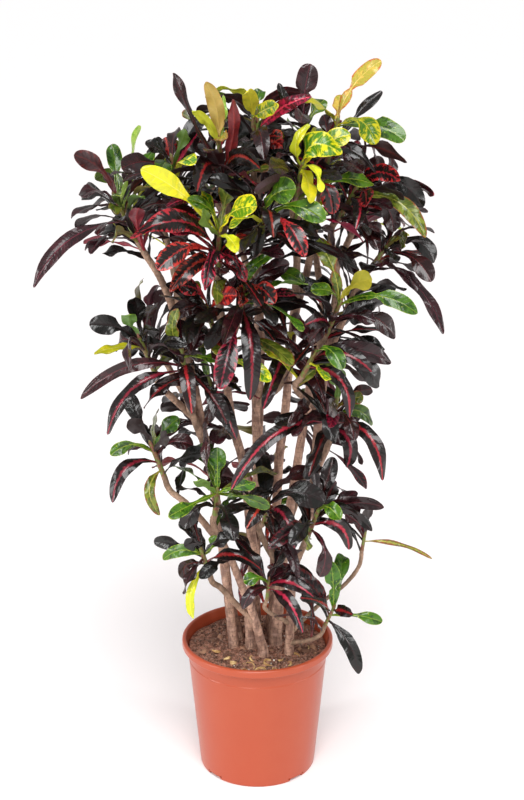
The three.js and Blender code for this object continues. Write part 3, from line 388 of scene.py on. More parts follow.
def spin_pot():
    pot = add(bpy.ops.mesh.primitive_plane_add, size=1)
    pot.name = "pot_shell"
    edit_all()
    bpy.ops.mesh.merge(type="CENTER")
    bpy.ops.mesh.select_all(action="SELECT")
    here = (0.0, 0.0)
    for radius, height in pot_section():
        step = ((radius - here[0]) * MM, 0.0, (height - here[1]) * MM)
        bpy.ops.mesh.extrude_vertices_move(TRANSFORM_OT_translate={"value": step})
        here = (radius, height)
    bpy.ops.mesh.select_all(action="SELECT")
    bpy.ops.mesh.spin(steps=SPIN_STEPS, angle=2 * math.pi, center=(0, 0, 0), axis=(0, 0, 1))
    bpy.ops.mesh.select_all(action="SELECT")
    bpy.ops.mesh.remove_doubles(threshold=0.02 * MM)
    face_outwards()
    return pot


pot = spin_pot()
print("pot shell:", len(pot.data.polygons), "faces")

# %% [markdown]
# Four shallow notches are cut through the foot ring, so that water can run out from under the pot,
# and a pinhole is moulded low in the wall at each side of a notch. Four larger drain holes go through
# the floor. A cut is a plain block or rod that a Boolean takes away, and the cutting tool is thrown
# away after it.

# %% Cut the notches and the drain holes
NOTCHES = 4
NOTCH_TURN = 42
NOTCH_WIDTH = 26
NOTCH_HEIGHT = 5
NOTCH_BEVEL = 1.5
DRAINS = 4
DRAIN_RADIUS = 5
DRAIN_CIRCLE = 62
PINHOLE_RADIUS = 1.6
PINHOLE_HEIGHT = 5.5
PINHOLE_ASIDE = 1.5


def cut_away(piece, cutter):
    settle(cutter)
    apply_modifier(piece, "BOOLEAN", operation="DIFFERENCE", solver="EXACT", object=cutter)
    bpy.data.objects.remove(cutter)


def at_foot(turn, height=0.0):
    """A place at a turn round the pot's foot, in metres."""
    return (Vector((math.cos(turn), math.sin(turn), 0)) * FOOT_RADIUS + Vector((0, 0, height))) * MM


def rod(radius, length, sides, place, rotation=(0, 0, 0)):
    return add(bpy.ops.mesh.primitive_cylinder_add, radius=radius * MM, depth=length * MM, vertices=sides,
               location=place, rotation=rotation)


for notch in range(NOTCHES):
    turn = math.radians(360 * notch / NOTCHES + NOTCH_TURN)
    block = add(bpy.ops.mesh.primitive_cube_add, size=1, location=at_foot(turn), rotation=(0, 0, turn),
                scale=(4 * FOOT_RING * MM, NOTCH_WIDTH * MM, 2 * NOTCH_HEIGHT * MM))
    apply_modifier(block, "BEVEL", width=NOTCH_BEVEL * MM, segments=3)
    cut_away(pot, block)
    for side in (-1, 1):
        swing = turn + side * (0.5 * NOTCH_WIDTH + PINHOLE_ASIDE) / FOOT_RADIUS
        place = at_foot(swing, PINHOLE_HEIGHT)
        cut_away(pot, rod(PINHOLE_RADIUS, 3 * WALL, 16, place, (0, math.pi / 2, swing)))
for drain in range(DRAINS):
    turn = 2 * math.pi * (drain + 0.5) / DRAINS
    place = (DRAIN_CIRCLE * MM * math.cos(turn), DRAIN_CIRCLE * MM * math.sin(turn), FLOOR_LIFT * MM)
    cut_away(pot, rod(DRAIN_RADIUS, 6 * WALL, 24, place))
shade(pot, 35)
seat(pot, "pot", "pot")

# %% [markdown]
# ## The potting soil
#
# The soil is a peat mix that fills the pot to a finger under its lip. Its top is crumbly: a square
# grid is drawn into a round one, lifted by the same gentle waves as the solid and by a low heap at the
# left, and roughened by three sizes of noise. The rim of the grid is then pushed down to the pot's
# floor and closed.

# %% Heap the soil
SOIL_LEVEL = 202
SOIL_CROWN = 6
SOIL_GAP = 0.6
SOIL_CELLS = 130
CRUMBS = ((14.0, 2.8), (5.0, 2.5), (2.2, 1.5))
HEAP_PLACE = (-80, -10)
HEAP_SPREAD = 48
HEAP_RISE = 6
WAVE_RISE = 1.6
WAVE_LENGTHS = (11, 13)


def soil_radius(height):
    return wall_radius(height) - WALL - SOIL_GAP


def soil_top(x, y):
    """The height of the soil's surface, in millimetres."""
    share = (x * x + y * y) / soil_radius(SOIL_LEVEL) ** 2
    height = SOIL_LEVEL + SOIL_CROWN * (1 - share)
    height += WAVE_RISE * math.sin(x / WAVE_LENGTHS[0]) * math.cos(y / WAVE_LENGTHS[1])
    away = math.hypot(x - HEAP_PLACE[0], y - HEAP_PLACE[1]) / HEAP_SPREAD
    height += HEAP_RISE * math.exp(-away * away)
    edge = min(1.0, 4 * (1 - share))
    for size, rise in CRUMBS:
        height += rise * edge * noise.noise(Vector((x / size, y / size, size)))
    return height


def heap_soil():
    cells = dict(x_subdivisions=SOIL_CELLS, y_subdivisions=SOIL_CELLS)
    soil = add(bpy.ops.mesh.primitive_grid_add, size=2, **cells)
    soil.name = "potting_soil"
    radius = soil_radius(SOIL_LEVEL)
    for corner in soil.data.vertices:
        x, y = corner.co.x, corner.co.y
        across, along = x * math.sqrt(1 - y * y / 2) * radius, y * math.sqrt(1 - x * x / 2) * radius
        corner.co = Vector((across, along, soil_top(across, along))) * MM
    edit_all()
    bpy.ops.mesh.region_to_loop()
    bottom = FLOOR_LIFT + WALL + SOIL_GAP
    bpy.ops.mesh.extrude_region_move(TRANSFORM_OT_translate={"value": (0, 0, (bottom - SOIL_LEVEL) * MM)})
    shrink = soil_radius(bottom) / radius
    bpy.ops.transform.resize(value=(shrink, shrink, 0.0), center_override=(0, 0, bottom * MM))
    bpy.ops.mesh.fill()
    face_outwards()
    return soil


soil = heap_soil()
shade(soil, 80)
seat(soil, "soil", "soil")

# %% [markdown]
# Bark chips, coarse crumbs and a few white specks lie in the top of the mix. Each kind starts as one
# rough stone: a small ball of flat faces, shaken in edit mode. Copies of it are turned, stretched and
# pressed a little into the surface, and all copies of a kind are one piece. The largest chips have a
# place of their own, and all others fall by chance.

# %% Scatter chips, crumbs and specks
LARGE_CHIPS = ((-72, 0, 11), (-89, 37, 5), (-66, 39, 5.5), (-68, 17, 6), (67, -21, 6), (92, -27, 4.5),
               (40, -60, 5), (-46, -40, 5))
CHIPS = 70
CRUMB_COUNT = 1500
SPECKS = 60
SCATTER_REACH = 0.96
STONE_BLANKS = 4
STONE_SHAKE = 0.28
STONE_TIP = 0.9


def rough_stone(seed, fineness):
    """Corners and faces of one shaken ball of radius 1."""
    stone = add(bpy.ops.mesh.primitive_ico_sphere_add, subdivisions=fineness, radius=1)
    edit_all()
    bpy.ops.transform.vertex_random(offset=STONE_SHAKE, seed=seed)
    bpy.ops.object.mode_set(mode="OBJECT")
    return read_off(stone)


def turned(corners, spin, tip, lean):
    """Corners tipped about X, then leaned about Y, then spun about Z."""
    for angle, (first, second) in ((tip, (1, 2)), (lean, (2, 0)), (spin, (0, 1))):
        a, b = corners[:, first].copy(), corners[:, second].copy()
        corners[:, first] = a * math.cos(angle) - b * math.sin(angle)
        corners[:, second] = a * math.sin(angle) + b * math.cos(angle)
    return corners


def scatter(name, count, sizes, flatness, sink, seed, fineness=2, placed=()):
    """A piece of many stones on the soil: sizes from and to in millimetres, with their half lengths."""
    draw = drawer(seed)
    blanks = [rough_stone(seed + at, fineness) for at in range(STONE_BLANKS)]
    stones = []
    for at in range(count):
        blank, faces = blanks[at % STONE_BLANKS]
        size = mix(*sizes, draw() ** 2.2)
        reach = SCATTER_REACH * soil_radius(SOIL_LEVEL) - size
        away, turn = reach * math.sqrt(draw()), 2 * math.pi * draw()
        x, y = away * math.cos(turn), away * math.sin(turn)
        if at < len(placed):
            x, y, size = placed[at]
        shape = blank * (size, size * mix(0.45, 0.8, draw()), size * flatness * mix(0.7, 1.3, draw()))
        shape = turned(shape, 6.28 * draw(), STONE_TIP * (draw() - 0.5), STONE_TIP * (draw() - 0.5))
        place = (x, y, soil_top(x, y) + size * flatness * sink)
        stones.append((shape + place, faces, np.full((len(blank), 3), draw())))
    corners, faces, chances = stack(stones)
    return build(name, corners, faces, 30, "soil", chance=chances)


chips = scatter("bark_chips", CHIPS, (3.0, 8.0), 0.4, 0.1, 21, placed=LARGE_CHIPS)
crumbs = scatter("peat_crumbs", CRUMB_COUNT, (1.0, 3.2), 0.75, 0.2, 31, 1)
specks = scatter("white_specks", SPECKS, (0.7, 1.9), 0.8, 0.55, 41)

# %% [markdown]
# Old leaves that have dropped dry into little hoops and shavings. One strip is a grid with a wall
# given by Solidify. Each copy is rolled round its own circle, wider or tighter, and laid on the soil.

# %% Roll the dry leaves
DRY_LEAVES = ((-38, -66, 14, 22, 4.6, 0.9), (-16, -78, 18, 30, 2.4, 0.2), (18, -68, 16, 34, 4.2, 0.3),
              (-52, -54, 11, 18, 2.0, 1.2), (6, -92, 13, 30, 3.4, 0.1), (-30, -84, 12, 34, 1.8, 0.4),
              (44, -72, 11, 26, 2.6, 0.8), (28, -88, 9, 20, 3.8, 0.5), (-66, -36, 10, 20, 2.8, 0.7),
              (58, -48, 10, 22, 2.4, 0.6), (-8, -60, 9, 18, 3.9, 1.3), (72, -20, 11, 20, 2.1, 0.2),
              (-20, -96, 8, 18, 3.0, 0.9), (36, -56, 8, 16, 4.4, 0.4))
DRY_WALL = 0.7
DRY_SINK = 0.4


def roll_dry_leaves():
    """Each dry leaf: where it lies, its hoop's radius, its length, how far it is rolled and its tip."""
    strip, faces = thin_slab(18, 2)
    leaves = []
    for at, (x, y, hoop, length, rolled, lean) in enumerate(DRY_LEAVES):
        along, across, wall = strip.T
        angle = along * rolled / 2
        radius = length / rolled * (1 + 0.12 * along) + wall * DRY_WALL / 2
        width = mix(1.0, 0.3, np.abs(along) ** 1.6) * 0.2 * hoop
        shape = np.column_stack([radius * np.sin(angle), across * width + 1.5 * along * math.sin(3 * at),
                                 radius * np.cos(angle)])
        shape = turned(shape, 2.4 * at, math.pi / 2 * (1 - 0.22 * lean), 0.2 * lean)
        leaves.append((shape + (x, y, soil_top(x, y) - shape[:, 2].min() - DRY_SINK), faces))
    return build("dry_leaves", *stack(leaves), 60, "soil")


dry_leaves = roll_dry_leaves()

# %% [markdown]
# ## The lines of the wood
#
# The plant is ten cuttings planted close together. Each stem is a list of limbs: the trunk stands in
# the soil at its foot, and a side limb grows from it at the height of its fork. A limb follows a
# smooth curve through a few points, the same points and the same curve as in the model, and thins
# towards the leafy shoot that it carries.

# %% The ten stems
STEMS = {
    "stem_01": [
        dict(foot=(-31, 14), radius=8, shoot="back_west",
             via=[(-44, 20, 272), (-53, 24, 330), (-62, 42, 420), (-80, 62, 520), (-99, 82, 620),
                  (-118, 98, 730)]),
        dict(fork=400, radius=5, shoot="low_back_west"),
        dict(fork=545, radius=5.5, shoot="mid_back_west"),
    ],
    "stem_02": [
        dict(foot=(9, -42), radius=7.5, shoot="green_front",
             via=[(-6, -50, 280), (-24, -60, 336), (-42, -70, 390)]),
        dict(fork=390, radius=5.5, shoot="low_west", via=[(-78, -75, 444), (-106, -72, 476)]),
        dict(fork=268, radius=5, shoot="low_left", via=[(-32, -54, 300), (-55, -68, 335)]),
    ],
    "stem_03": [
        dict(foot=(-9, -18), radius=9.5, shoot="front_gold",
             via=[(-12, -14, 272), (-4, -4, 351), (-10, -4, 400), (-20, -12, 509), (-38, -22, 590),
                  (-46, -46, 674), (-50, -62, 740)]),
        dict(fork=560, radius=5, shoot="mid_centre_west"),
        dict(fork=668, radius=5, shoot="upper_front_west"),
        dict(fork=700, radius=5, shoot="hanging_front"),
        dict(fork=745, radius=6, shoot="crown_west", via=[(-56, -48, 810), (-50, -42, 870)]),
    ],
    "stem_04": [
        dict(foot=(-3, 18), radius=9, shoot="crown_centre",
             via=[(-4, 20, 300), (-2, 22, 400), (1, 24, 494), (-2, 28, 589), (6, 22, 688), (2, 12, 786),
                  (0, 4, 880)]),
        dict(fork=600, radius=5, shoot="mid_centre"),
        dict(fork=765, radius=5.5, shoot="centre_front", via=[(2, -30, 805)]),
    ],
    "stem_05": [
        dict(foot=(-8, 46), radius=8, shoot="back_centre",
             via=[(-8, 54, 340), (0, 72, 480), (4, 92, 620), (0, 106, 760), (0, 112, 880)]),
        dict(fork=290, radius=5, shoot="low_back"),
        dict(fork=500, radius=5.5, shoot="mid_back"),
        dict(fork=680, radius=5.5, shoot="back_low_centre"),
        dict(fork=740, radius=5.5, shoot="back_north_west", via=[(-26, 128, 820)]),
    ],
    "stem_06": [
        dict(foot=(25, 26), radius=8.5, shoot="crown_east",
             via=[(28, 34, 350), (33, 40, 493), (42, 40, 573), (48, 32, 650), (56, 16, 760), (60, 2, 870)]),
        dict(fork=700, radius=5.5, shoot="bright_front", via=[(58, -12, 790), (56, -44, 860)]),
        dict(fork=740, radius=6, shoot="crown_far_east", via=[(76, 18, 820)]),
    ],
    "stem_07": [
        dict(foot=(28, -3), radius=10.5, shoot="east_high",
             via=[(34, -2, 299), (42, -2, 368), (66, -10, 410), (84, -18, 450), (88, -28, 510),
                  (92, -30, 600), (104, -24, 700), (116, -20, 800)]),
        dict(fork=512, radius=6, shoot="right_front"),
        dict(fork=610, radius=6, shoot="mid_east"),
        dict(fork=640, radius=6, shoot="east_front"),
        dict(fork=690, radius=6, shoot="east_mid"),
    ],
    "stem_08": [
        dict(foot=(50, -36), radius=7, shoot="low_east", via=[(52, -48, 300), (58, -66, 370)]),
        dict(fork=325, radius=5, shoot="low_centre"),
        dict(fork=226, radius=4.5, shoot="rim_east", via=[(74, -58, 240)]),
        dict(fork=244, radius=4.5, shoot="twig_east", via=[(96, -26, 286), (136, -20, 318)]),
        dict(fork=262, radius=4.5, shoot="rim_front"),
    ],
    "stem_09": [
        dict(foot=(-38, -16), radius=8, shoot="west_high",
             via=[(-46, -12, 300), (-54, -16, 390), (-66, -22, 480), (-82, -26, 580), (-100, -30, 680),
                  (-118, -32, 750), (-138, -40, 810)]),
        dict(fork=540, radius=5.5, shoot="mid_west_front", via=[(-96, -52, 610)]),
        dict(fork=585, radius=5.5, shoot="mid_west"),
        dict(fork=750, radius=5.5, shoot="west_top", via=[(-114, -28, 830)]),
    ],
    "stem_10": [
        dict(foot=(22, 56), radius=8.5, shoot="back_east",
             via=[(40, 62, 330), (58, 72, 450), (76, 80, 570), (92, 86, 680), (116, 92, 780)]),
        dict(fork=370, radius=5, shoot="low_back_east"),
        dict(fork=560, radius=5.5, shoot="mid_back_east"),
        dict(fork=730, radius=5.5, shoot="back_north_east", via=[(88, 120, 820)]),
    ],
}
print("stems:", len(STEMS))

# %% [markdown]
# ## The leafy shoots
#
# At the end of every limb sits a short green shoot with its leaves. A shoot has a foot, the way it
# leans, its length, how many leaves the model gives it, and the mix of colours that its other leaves
# are dealt. A listed leaf is written as its tip, counted from the foot of the shoot, then its
# width, form, tone and how far it arches.

# %% The forty shoots
SHOOTS = {
    "west_high": dict(
        foot=(-175, -45, 880), lean=(-40, -5, 83), length=60, leaves=11, mix="wine",
        hand=[
            (-80, -15, 115, 26, "spoon", "rededge", 14), (-80, -55, 75, 36, "spoon", "maroon", 26),
            (-70, -45, 40, 26, "waisted", "maroon", 22), (-45, 25, 115, 27, "spoon", "green", 8),
            (-15, 45, 125, 31, "spoon", "lime", 6), (-45, -45, 105, 36, "spoon", "maroon", 10),
            (-145, -15, -75, 22, "strap", "maroon", 26), (20, 55, 110, 25, "spoon", "green", 6),
        ]),
    "west_top": dict(
        foot=(-110, -20, 915), lean=(-15, -10, 97), length=70, leaves=11, mix="wine",
        hand=[
            (-45, -20, 95, 19, "spoon", "black", 6), (-40, 40, 90, 19, "spoon", "black", 6),
            (-20, -60, 65, 28, "spoon", "green", 14), (5, -45, 115, 20, "spoon", "green", 6),
            (25, -10, 110, 26, "strap", "redrib", 8), (-80, -70, 70, 32, "spoon", "maroon", 18),
        ]),
    "front_gold": dict(
        foot=(-55, -85, 840), lean=(5, -25, 95), length=55, leaves=14, mix="gold", tip=True,
        hand=[
            (-100, -65, 150, 31, "spoon", "yellow", 12), (55, -65, 100, 38, "spoon", "variegated", 14),
            (0, -65, 100, 24, "spoon", "green", 6), (-32, -62, 92, 20, "spoon", "green", 8),
            (-60, -85, 50, 24, "curl", "gold", 24), (-25, -115, 55, 25, "spoon", "gold", 20),
            (-110, -60, 60, 34, "curl", "rededge", 46), (-80, -75, 15, 30, "spoon", "rededge", 26),
            (-55, -85, -5, 28, "curl", "rededge", 30), (-15, -90, -10, 30, "curl", "rededge", 34),
            (30, -85, 0, 24, "curl", "rededge", 30),
        ]),
    "crown_west": dict(
        foot=(-45, -40, 940), lean=(-12, -10, 98), length=75, leaves=14, mix="red", tip=True,
        hand=[
            (-70, -20, 165, 28, "waisted", "maroon", 10), (4, -88, 88, 19, "strap", "gold", 8),
            (-25, -20, 155, 22, "strap", "gold", 8),
            (-35, -45, 118, 15, "curl", "yellow", 12), (10, 10, 145, 12, "strap", "lime", 4),
            (15, -30, 135, 20, "strap", "crimson", 4),
            (-35, -110, 20, 26, "strap", "redrib", 30), (50, -100, 50, 24, "strap", "redrib", 24),
            (-80, -60, 60, 26, "strap", "redrib", 20),
        ]),
    "crown_centre": dict(
        foot=(-5, 0, 990), lean=(0, -10, 99), length=55, leaves=12, mix="bright", tip=True,
        hand=[
            (-8, -55, 92, 22, "strap", "variegated", 5), (25, -75, 86, 24, "strap", "variegated", 8),
            (10, 20, 85, 21, "spoon", "green", 5), (-20, 15, 78, 20, "spoon", "black", 6),
            (80, -60, 85, 20, "strap", "crimson", 12), (50, -65, 50, 24, "spoon", "rededge", 18),
            (20, -85, 10, 26, "strap", "maroon", 24),
        ]),
    "crown_east": dict(
        foot=(65, -10, 970), lean=(4, -5, 99), length=65, leaves=12, mix="wine",
        hand=[
            (10, -5, 145, 31, "waisted", "maroon", 5), (-15, 10, 120, 16, "strap", "black", 6),
            (25, 30, 95, 24, "spoon", "green", 8), (-5, -85, 75, 28, "spoon", "maroon", 22),
            (-30, -60, 65, 24, "spoon", "black", 16), (30, -70, 95, 25, "spoon", "green", 12),
        ]),
    "crown_far_east": dict(
        foot=(100, 0, 970), lean=(22, 0, 95), length=65, leaves=13, mix="gold", tip=True,
        hand=[
            (75, 0, 148, 23, "waisted", "gold", 12), (108, -30, 40, 31, "waisted", "green", 14),
            (20, 10, 120, 26, "spoon", "gold", 5), (105, -40, 75, 30, "waisted", "black", 14),
            (74, 30, 102, 18, "waisted", "black", 10), (65, -60, 40, 31, "spoon", "variegated", 22),
            (5, 35, 62, 23, "spoon", "maroon", 10),
        ]),
    "bright_front": dict(
        foot=(55, -70, 940), lean=(15, -35, 90), length=50, leaves=11, mix="bright", tip=True,
        hand=[
            (60, -60, 68, 34, "curl", "variegated", 24), (72, -20, 88, 30, "spoon", "variegated", 10),
            (40, -75, 20, 24, "curl", "yellow", 26), (34, -60, 100, 19, "strap", "yellow", 8),
            (50, -30, -20, 26, "spoon", "rededge", 30), (-10, -90, 40, 26, "spoon", "rededge", 26),
        ]),
    "east_high": dict(
        foot=(120, -20, 900), lean=(45, -10, 85), length=60, leaves=12, mix="wine",
        hand=[
            (80, -45, 60, 25, "strap", "rededge", 18), (82, 40, 50, 21, "spoon", "black", 12),
            (120, -10, 15, 29, "spoon", "black", 30), (118, -50, -20, 24, "strap", "olive", 28),
            (90, -20, -30, 30, "spoon", "maroon", 36), (40, -80, 40, 26, "spoon", "rededge", 22),
            (20, -80, 5, 24, "strap", "redrib", 26),
        ]),
    "east_mid": dict(
        foot=(165, -10, 820), lean=(50, -10, 75), length=55, leaves=11, mix="wine",
        hand=[
            (92, -10, 12, 33, "spoon", "black", 26), (82, -40, -15, 31, "spoon", "maroon", 28),
            (35, -55, 42, 28, "spoon", "olive", 16), (107, -30, -90, 19, "strap", "maroon", 18),
            (55, 40, 35, 28, "spoon", "black", 16),
        ]),
    "centre_front": dict(
        foot=(5, -95, 880), lean=(10, -35, 90), length=50, leaves=10, mix="mixed",
        hand=[
            (48, -50, 82, 37, "spoon", "green", 14), (88, -50, 40, 29, "spoon", "green", 24),
            (10, -95, 35, 26, "strap", "redrib", 26), (60, -90, 0, 26, "spoon", "rededge", 30),
            (22, -100, 70, 24, "strap", "redrib", 16),
        ]),
    "east_front": dict(
        foot=(100, -60, 735), lean=(30, -30, 85), length=60, leaves=12, mix="mixed", tip=True,
        hand=[
            (60, -60, 97, 29, "spoon", "variegated", 10), (126, -50, 45, 25, "waisted", "green", 22),
            (25, -90, 65, 28, "spoon", "maroon", 20), (100, 0, -5, 27, "spoon", "maroon", 30),
            (168, -5, -20, 23, "waisted", "maroon", 22), (-25, -60, 85, 24, "spoon", "green", 14),
        ]),
    "mid_east": dict(
        foot=(66, -84, 680), lean=(30, -40, 75), length=50, leaves=9, mix="wine",
        hand=[
            (126, -10, 22, 27, "strap", "maroon", 26), (110, -5, -15, 33, "spoon", "black", 32),
            (96, -45, 20, 24, "strap", "redrib", 24), (54, -66, 30, 24, "spoon", "green", 24),
            (66, -40, -50, 20, "strap", "redrib", 34),
        ]),
    "mid_west": dict(
        foot=(-150, -60, 680), lean=(-35, -10, 90), length=55, leaves=11, mix="mixed",
        hand=[
            (-90, -20, 75, 29, "waisted", "black", 12), (-90, -45, 62, 15, "strap", "yellow", 14),
            (-40, -30, 95, 27, "waisted", "green", 8), (0, -15, 68, 31, "spoon", "black", 8),
            (-62, 40, 20, 24, "strap", "maroon", 22), (-45, -80, 30, 26, "spoon", "maroon", 22),
        ]),
    "mid_west_front": dict(
        foot=(-105, -80, 675), lean=(-5, -25, 95), length=55, leaves=12, mix="mixed",
        hand=[
            (-147, -35, -20, 19, "strap", "maroon", 28), (-110, -45, -70, 22, "strap", "redrib", 36),
            (14, -85, -25, 22, "strap", "redrib", 32), (32, -20, 82, 28, "curl", "maroon", 10),
            (8, -45, 102, 22, "strap", "olive", 8), (48, -50, 55, 26, "spoon", "green", 18),
            (-10, 25, 88, 26, "spoon", "maroon", 8),
        ]),
    "low_west": dict(
        foot=(-140, -55, 515), lean=(-30, -15, 90), length=55, leaves=12, mix="mixed",
        hand=[
            (-50, -25, 92, 25, "spoon", "black", 8), (-75, -35, 45, 19, "spoon", "green", 16),
            (-50, 5, 45, 24, "spoon", "maroon", 12), (-72, -55, -22, 21, "strap", "redrib", 30),
            (25, 0, 90, 25, "spoon", "green", 8), (15, -48, 94, 26, "spoon", "black", 10),
            (45, -10, 50, 26, "spoon", "maroon", 18), (-5, -35, -50, 16, "strap", "olive", 30),
        ]),
    "green_front": dict(
        foot=(-63, -86, 465), lean=(8, -40, 85), length=50, leaves=12, mix="leafy", tip=True,
        hand=[
            (5, -25, 115, 27, "spoon", "green", 5), (-25, -65, 95, 28, "spoon", "green", 12),
            (55, -55, 88, 26, "spoon", "green", 14), (88, -48, 42, 24, "spoon", "green", 16),
            (-38, -88, 58, 25, "spoon", "green", 20), (50, -85, 10, 30, "spoon", "black", 28),
            (-45, -40, -5, 26, "spoon", "black", 26), (75, -40, -20, 28, "strap", "black", 30),
        ]),
    "low_left": dict(
        foot=(-74, -86, 374), lean=(-20, -35, 85), length=45, leaves=10, mix="mixed",
        hand=[
            (-22, -35, -64, 13, "strap", "yellow", 26), (-28, -25, 50, 24, "spoon", "black", 10),
            (-52, -25, 32, 22, "strap", "green", 16), (-50, -55, 5, 23, "strap", "maroon", 22),
            (12, 5, 48, 22, "spoon", "green", 6), (-30, -20, -32, 22, "strap", "maroon", 26),
            (75, -20, 0, 22, "strap", "redrib", 24),
        ]),
    "rim_front": dict(
        foot=(15, -92, 330), lean=(5, -40, 85), length=45, leaves=9, mix="wine",
        hand=[
            (-25, -30, 42, 22, "spoon", "green", 8), (52, -70, -22, 22, "strap", "redrib", 28),
            (26, -38, 82, 20, "strap", "maroon", 8), (80, -40, 36, 22, "strap", "redrib", 24),
            (-45, -45, 5, 20, "strap", "maroon", 22),
        ]),
    "low_east": dict(
        foot=(76, -92, 434), lean=(25, -35, 85), length=50, leaves=11, mix="mixed",
        hand=[
            (110, -20, 52, 21, "strap", "maroon", 22), (95, -35, 28, 19, "strap", "black", 26),
            (44, -60, 50, 23, "spoon", "green", 18), (70, 5, 70, 24, "spoon", "maroon", 12),
            (17, -40, -50, 24, "spoon", "maroon", 30), (0, -62, 96, 24, "spoon", "black", 10),
            (60, -20, -15, 20, "strap", "redrib", 28),
        ]),
    "rim_east": dict(
        foot=(104, -80, 279), lean=(25, -40, 80), length=45, leaves=9, mix="mixed",
        hand=[
            (50, -35, -65, 22, "strap", "black", 16), (86, -10, 10, 19, "spoon", "green", 8),
            (5, -30, 120, 24, "waisted", "green", 4), (-42, -60, 68, 22, "strap", "redrib", 14),
            (42, -50, 62, 21, "strap", "redrib", 14),
        ]),
    "twig_east": dict(
        foot=(162, -20, 377), lean=(15, 0, 98), length=30, leaves=5, mix="mixed",
        hand=[
            (109, 0, -15, 7, "strap", "olive", 10), (-27, 0, 60, 19, "spoon", "maroon", 6),
        ]),
    "right_front": dict(
        foot=(109, -45, 580), lean=(15, -20, 95), length=55, leaves=13, mix="mixed",
        hand=[
            (5, -40, 106, 27, "spoon", "green", 6), (74, -65, -52, 23, "strap", "redrib", 38),
            (-140, -95, -55, 24, "strap", "redrib", 48), (38, -15, 60, 24, "spoon", "olive", 12),
            (62, 28, 58, 22, "spoon", "maroon", 12), (32, -65, 10, 22, "spoon", "maroon", 20),
            (62, 8, 8, 20, "strap", "green", 20), (24, -30, -45, 23, "strap", "redrib", 26),
        ]),
    "low_centre": dict(
        foot=(10, -60, 441), lean=(15, -35, 90), length=45, leaves=9, mix="wine",
        hand=[
            (88, -75, 62, 37, "spoon", "black", 22), (50, -10, 75, 27, "spoon", "maroon", 10),
            (45, -75, -10, 25, "strap", "redrib", 30), (-25, -75, 20, 24, "strap", "redrib", 20),
        ]),
    "mid_centre_west": dict(
        foot=(-58, -30, 617), lean=(-25, -25, 90), length=45, leaves=8, mix="wine",
        hand=[
            (-75, -80, 70, 24, "strap", "maroon", 20), (-80, 10, 60, 24, "spoon", "maroon", 20),
            (28, -80, -25, 24, "strap", "redrib", 30),
        ]),
    "mid_centre": dict(
        foot=(39, 10, 656), lean=(20, -25, 90), length=45, leaves=9, mix="wine",
        hand=[
            (24, -55, 102, 26, "spoon", "maroon", 10), (60, -95, -25, 24, "strap", "maroon", 30),
            (-30, -115, -20, 25, "strap", "redrib", 40),
        ]),
    "upper_front_west": dict(
        foot=(-61, -50, 732), lean=(-20, -35, 85), length=50, leaves=9, mix="red",
        hand=[
            (-50, -60, 88, 26, "spoon", "rededge", 14), (-66, -40, 30, 25, "strap", "maroon", 22),
            (-35, -75, 5, 24, "strap", "maroon", 26),
        ]),
    "hanging_front": dict(
        foot=(-25, -80, 775), lean=(15, -40, 80), length=45, leaves=9, mix="red",
        hand=[
            (15, -70, -110, 26, "strap", "redrib", 34), (50, -70, 30, 26, "spoon", "rededge", 20),
            (-10, -80, 30, 26, "curl", "rededge", 22),
        ]),
    "back_west": dict(
        foot=(-150, 115, 860), lean=(-40, 30, 80), length=60, leaves=9, mix="wine"),
    "back_north_west": dict(
        foot=(-70, 150, 920), lean=(-20, 35, 90), length=60, leaves=10, mix="mixed"),
    "back_centre": dict(
        foot=(0, 110, 985), lean=(0, 12, 99), length=60, leaves=9, mix="gold"),
    "back_north_east": dict(
        foot=(75, 160, 915), lean=(20, 40, 85), length=60, leaves=10, mix="red"),
    "back_east": dict(
        foot=(155, 100, 870), lean=(45, 25, 80), length=60, leaves=9, mix="mixed"),
    "back_low_centre": dict(
        foot=(0, 190, 830), lean=(0, 50, 80), length=55, leaves=9, mix="wine"),
    "mid_back_west": dict(
        foot=(-150, 120, 650), lean=(-45, 30, 80), length=55, leaves=8, mix="mixed"),
    "mid_back_east": dict(
        foot=(130, 130, 690), lean=(40, 35, 80), length=55, leaves=8, mix="wine"),
    "mid_back": dict(
        foot=(-10, 170, 660), lean=(-5, 50, 80), length=55, leaves=8, mix="red"),
    "low_back_west": dict(
        foot=(-85, 110, 500), lean=(-35, 45, 80), length=50, leaves=8, mix="wine"),
    "low_back_east": dict(
        foot=(90, 115, 490), lean=(35, 45, 80), length=50, leaves=8, mix="mixed"),
    "low_back": dict(
        foot=(0, 125, 385), lean=(0, 50, 80), length=45, leaves=7, mix="mixed"),
}

MIXES = {
    "wine": dict(old=("maroon", "black", "redrib", "maroon"), young=("maroon", "black", "green")),
    "red": dict(old=("rededge", "redrib", "maroon", "crimson"), young=("rededge", "crimson", "green")),
    "mixed": dict(old=("maroon", "redrib", "black", "rededge"), young=("green", "olive", "maroon")),
    "gold": dict(old=("rededge", "maroon", "black", "redrib"), young=("gold", "yellow", "green")),
    "leafy": dict(old=("green", "black", "maroon", "olive"), young=("green", "lime", "green")),
    "bright": dict(old=("maroon", "rededge", "black", "green"), young=("variegated", "green", "yellow")),
}
FORMS = ("spoon", "strap", "spoon", "waisted", "spoon", "strap", "curl")
BRIGHT = {"green", "variegated", "yellow", "gold", "lime", "olive"}
print("shoots:", len(SHOOTS), "leaves by hand:", sum(len(row.get("hand", ())) for row in SHOOTS.values()))

# %% [markdown]
# A curve through given points is a Catmull-Rom spline: between two points it is a cubic whose
# slope at each point follows from that point's neighbours. Past the ends the neighbour is made up, as
# far beyond the end as the next point is before it.

# %% Grow the wood
SOIL_PLANTING = 55
COLLAR_RISE = 14
LINE_STEPS = 8
LIMB_TIP_RADIUS = 4.4
LIMB_TAPER = 0.8
LIMB_ARRIVAL = 28
SHOOT_ROOT_RADIUS = 4.2
SHOOT_TIP_RADIUS = 3.2
TIP_SPLIT = 0.6


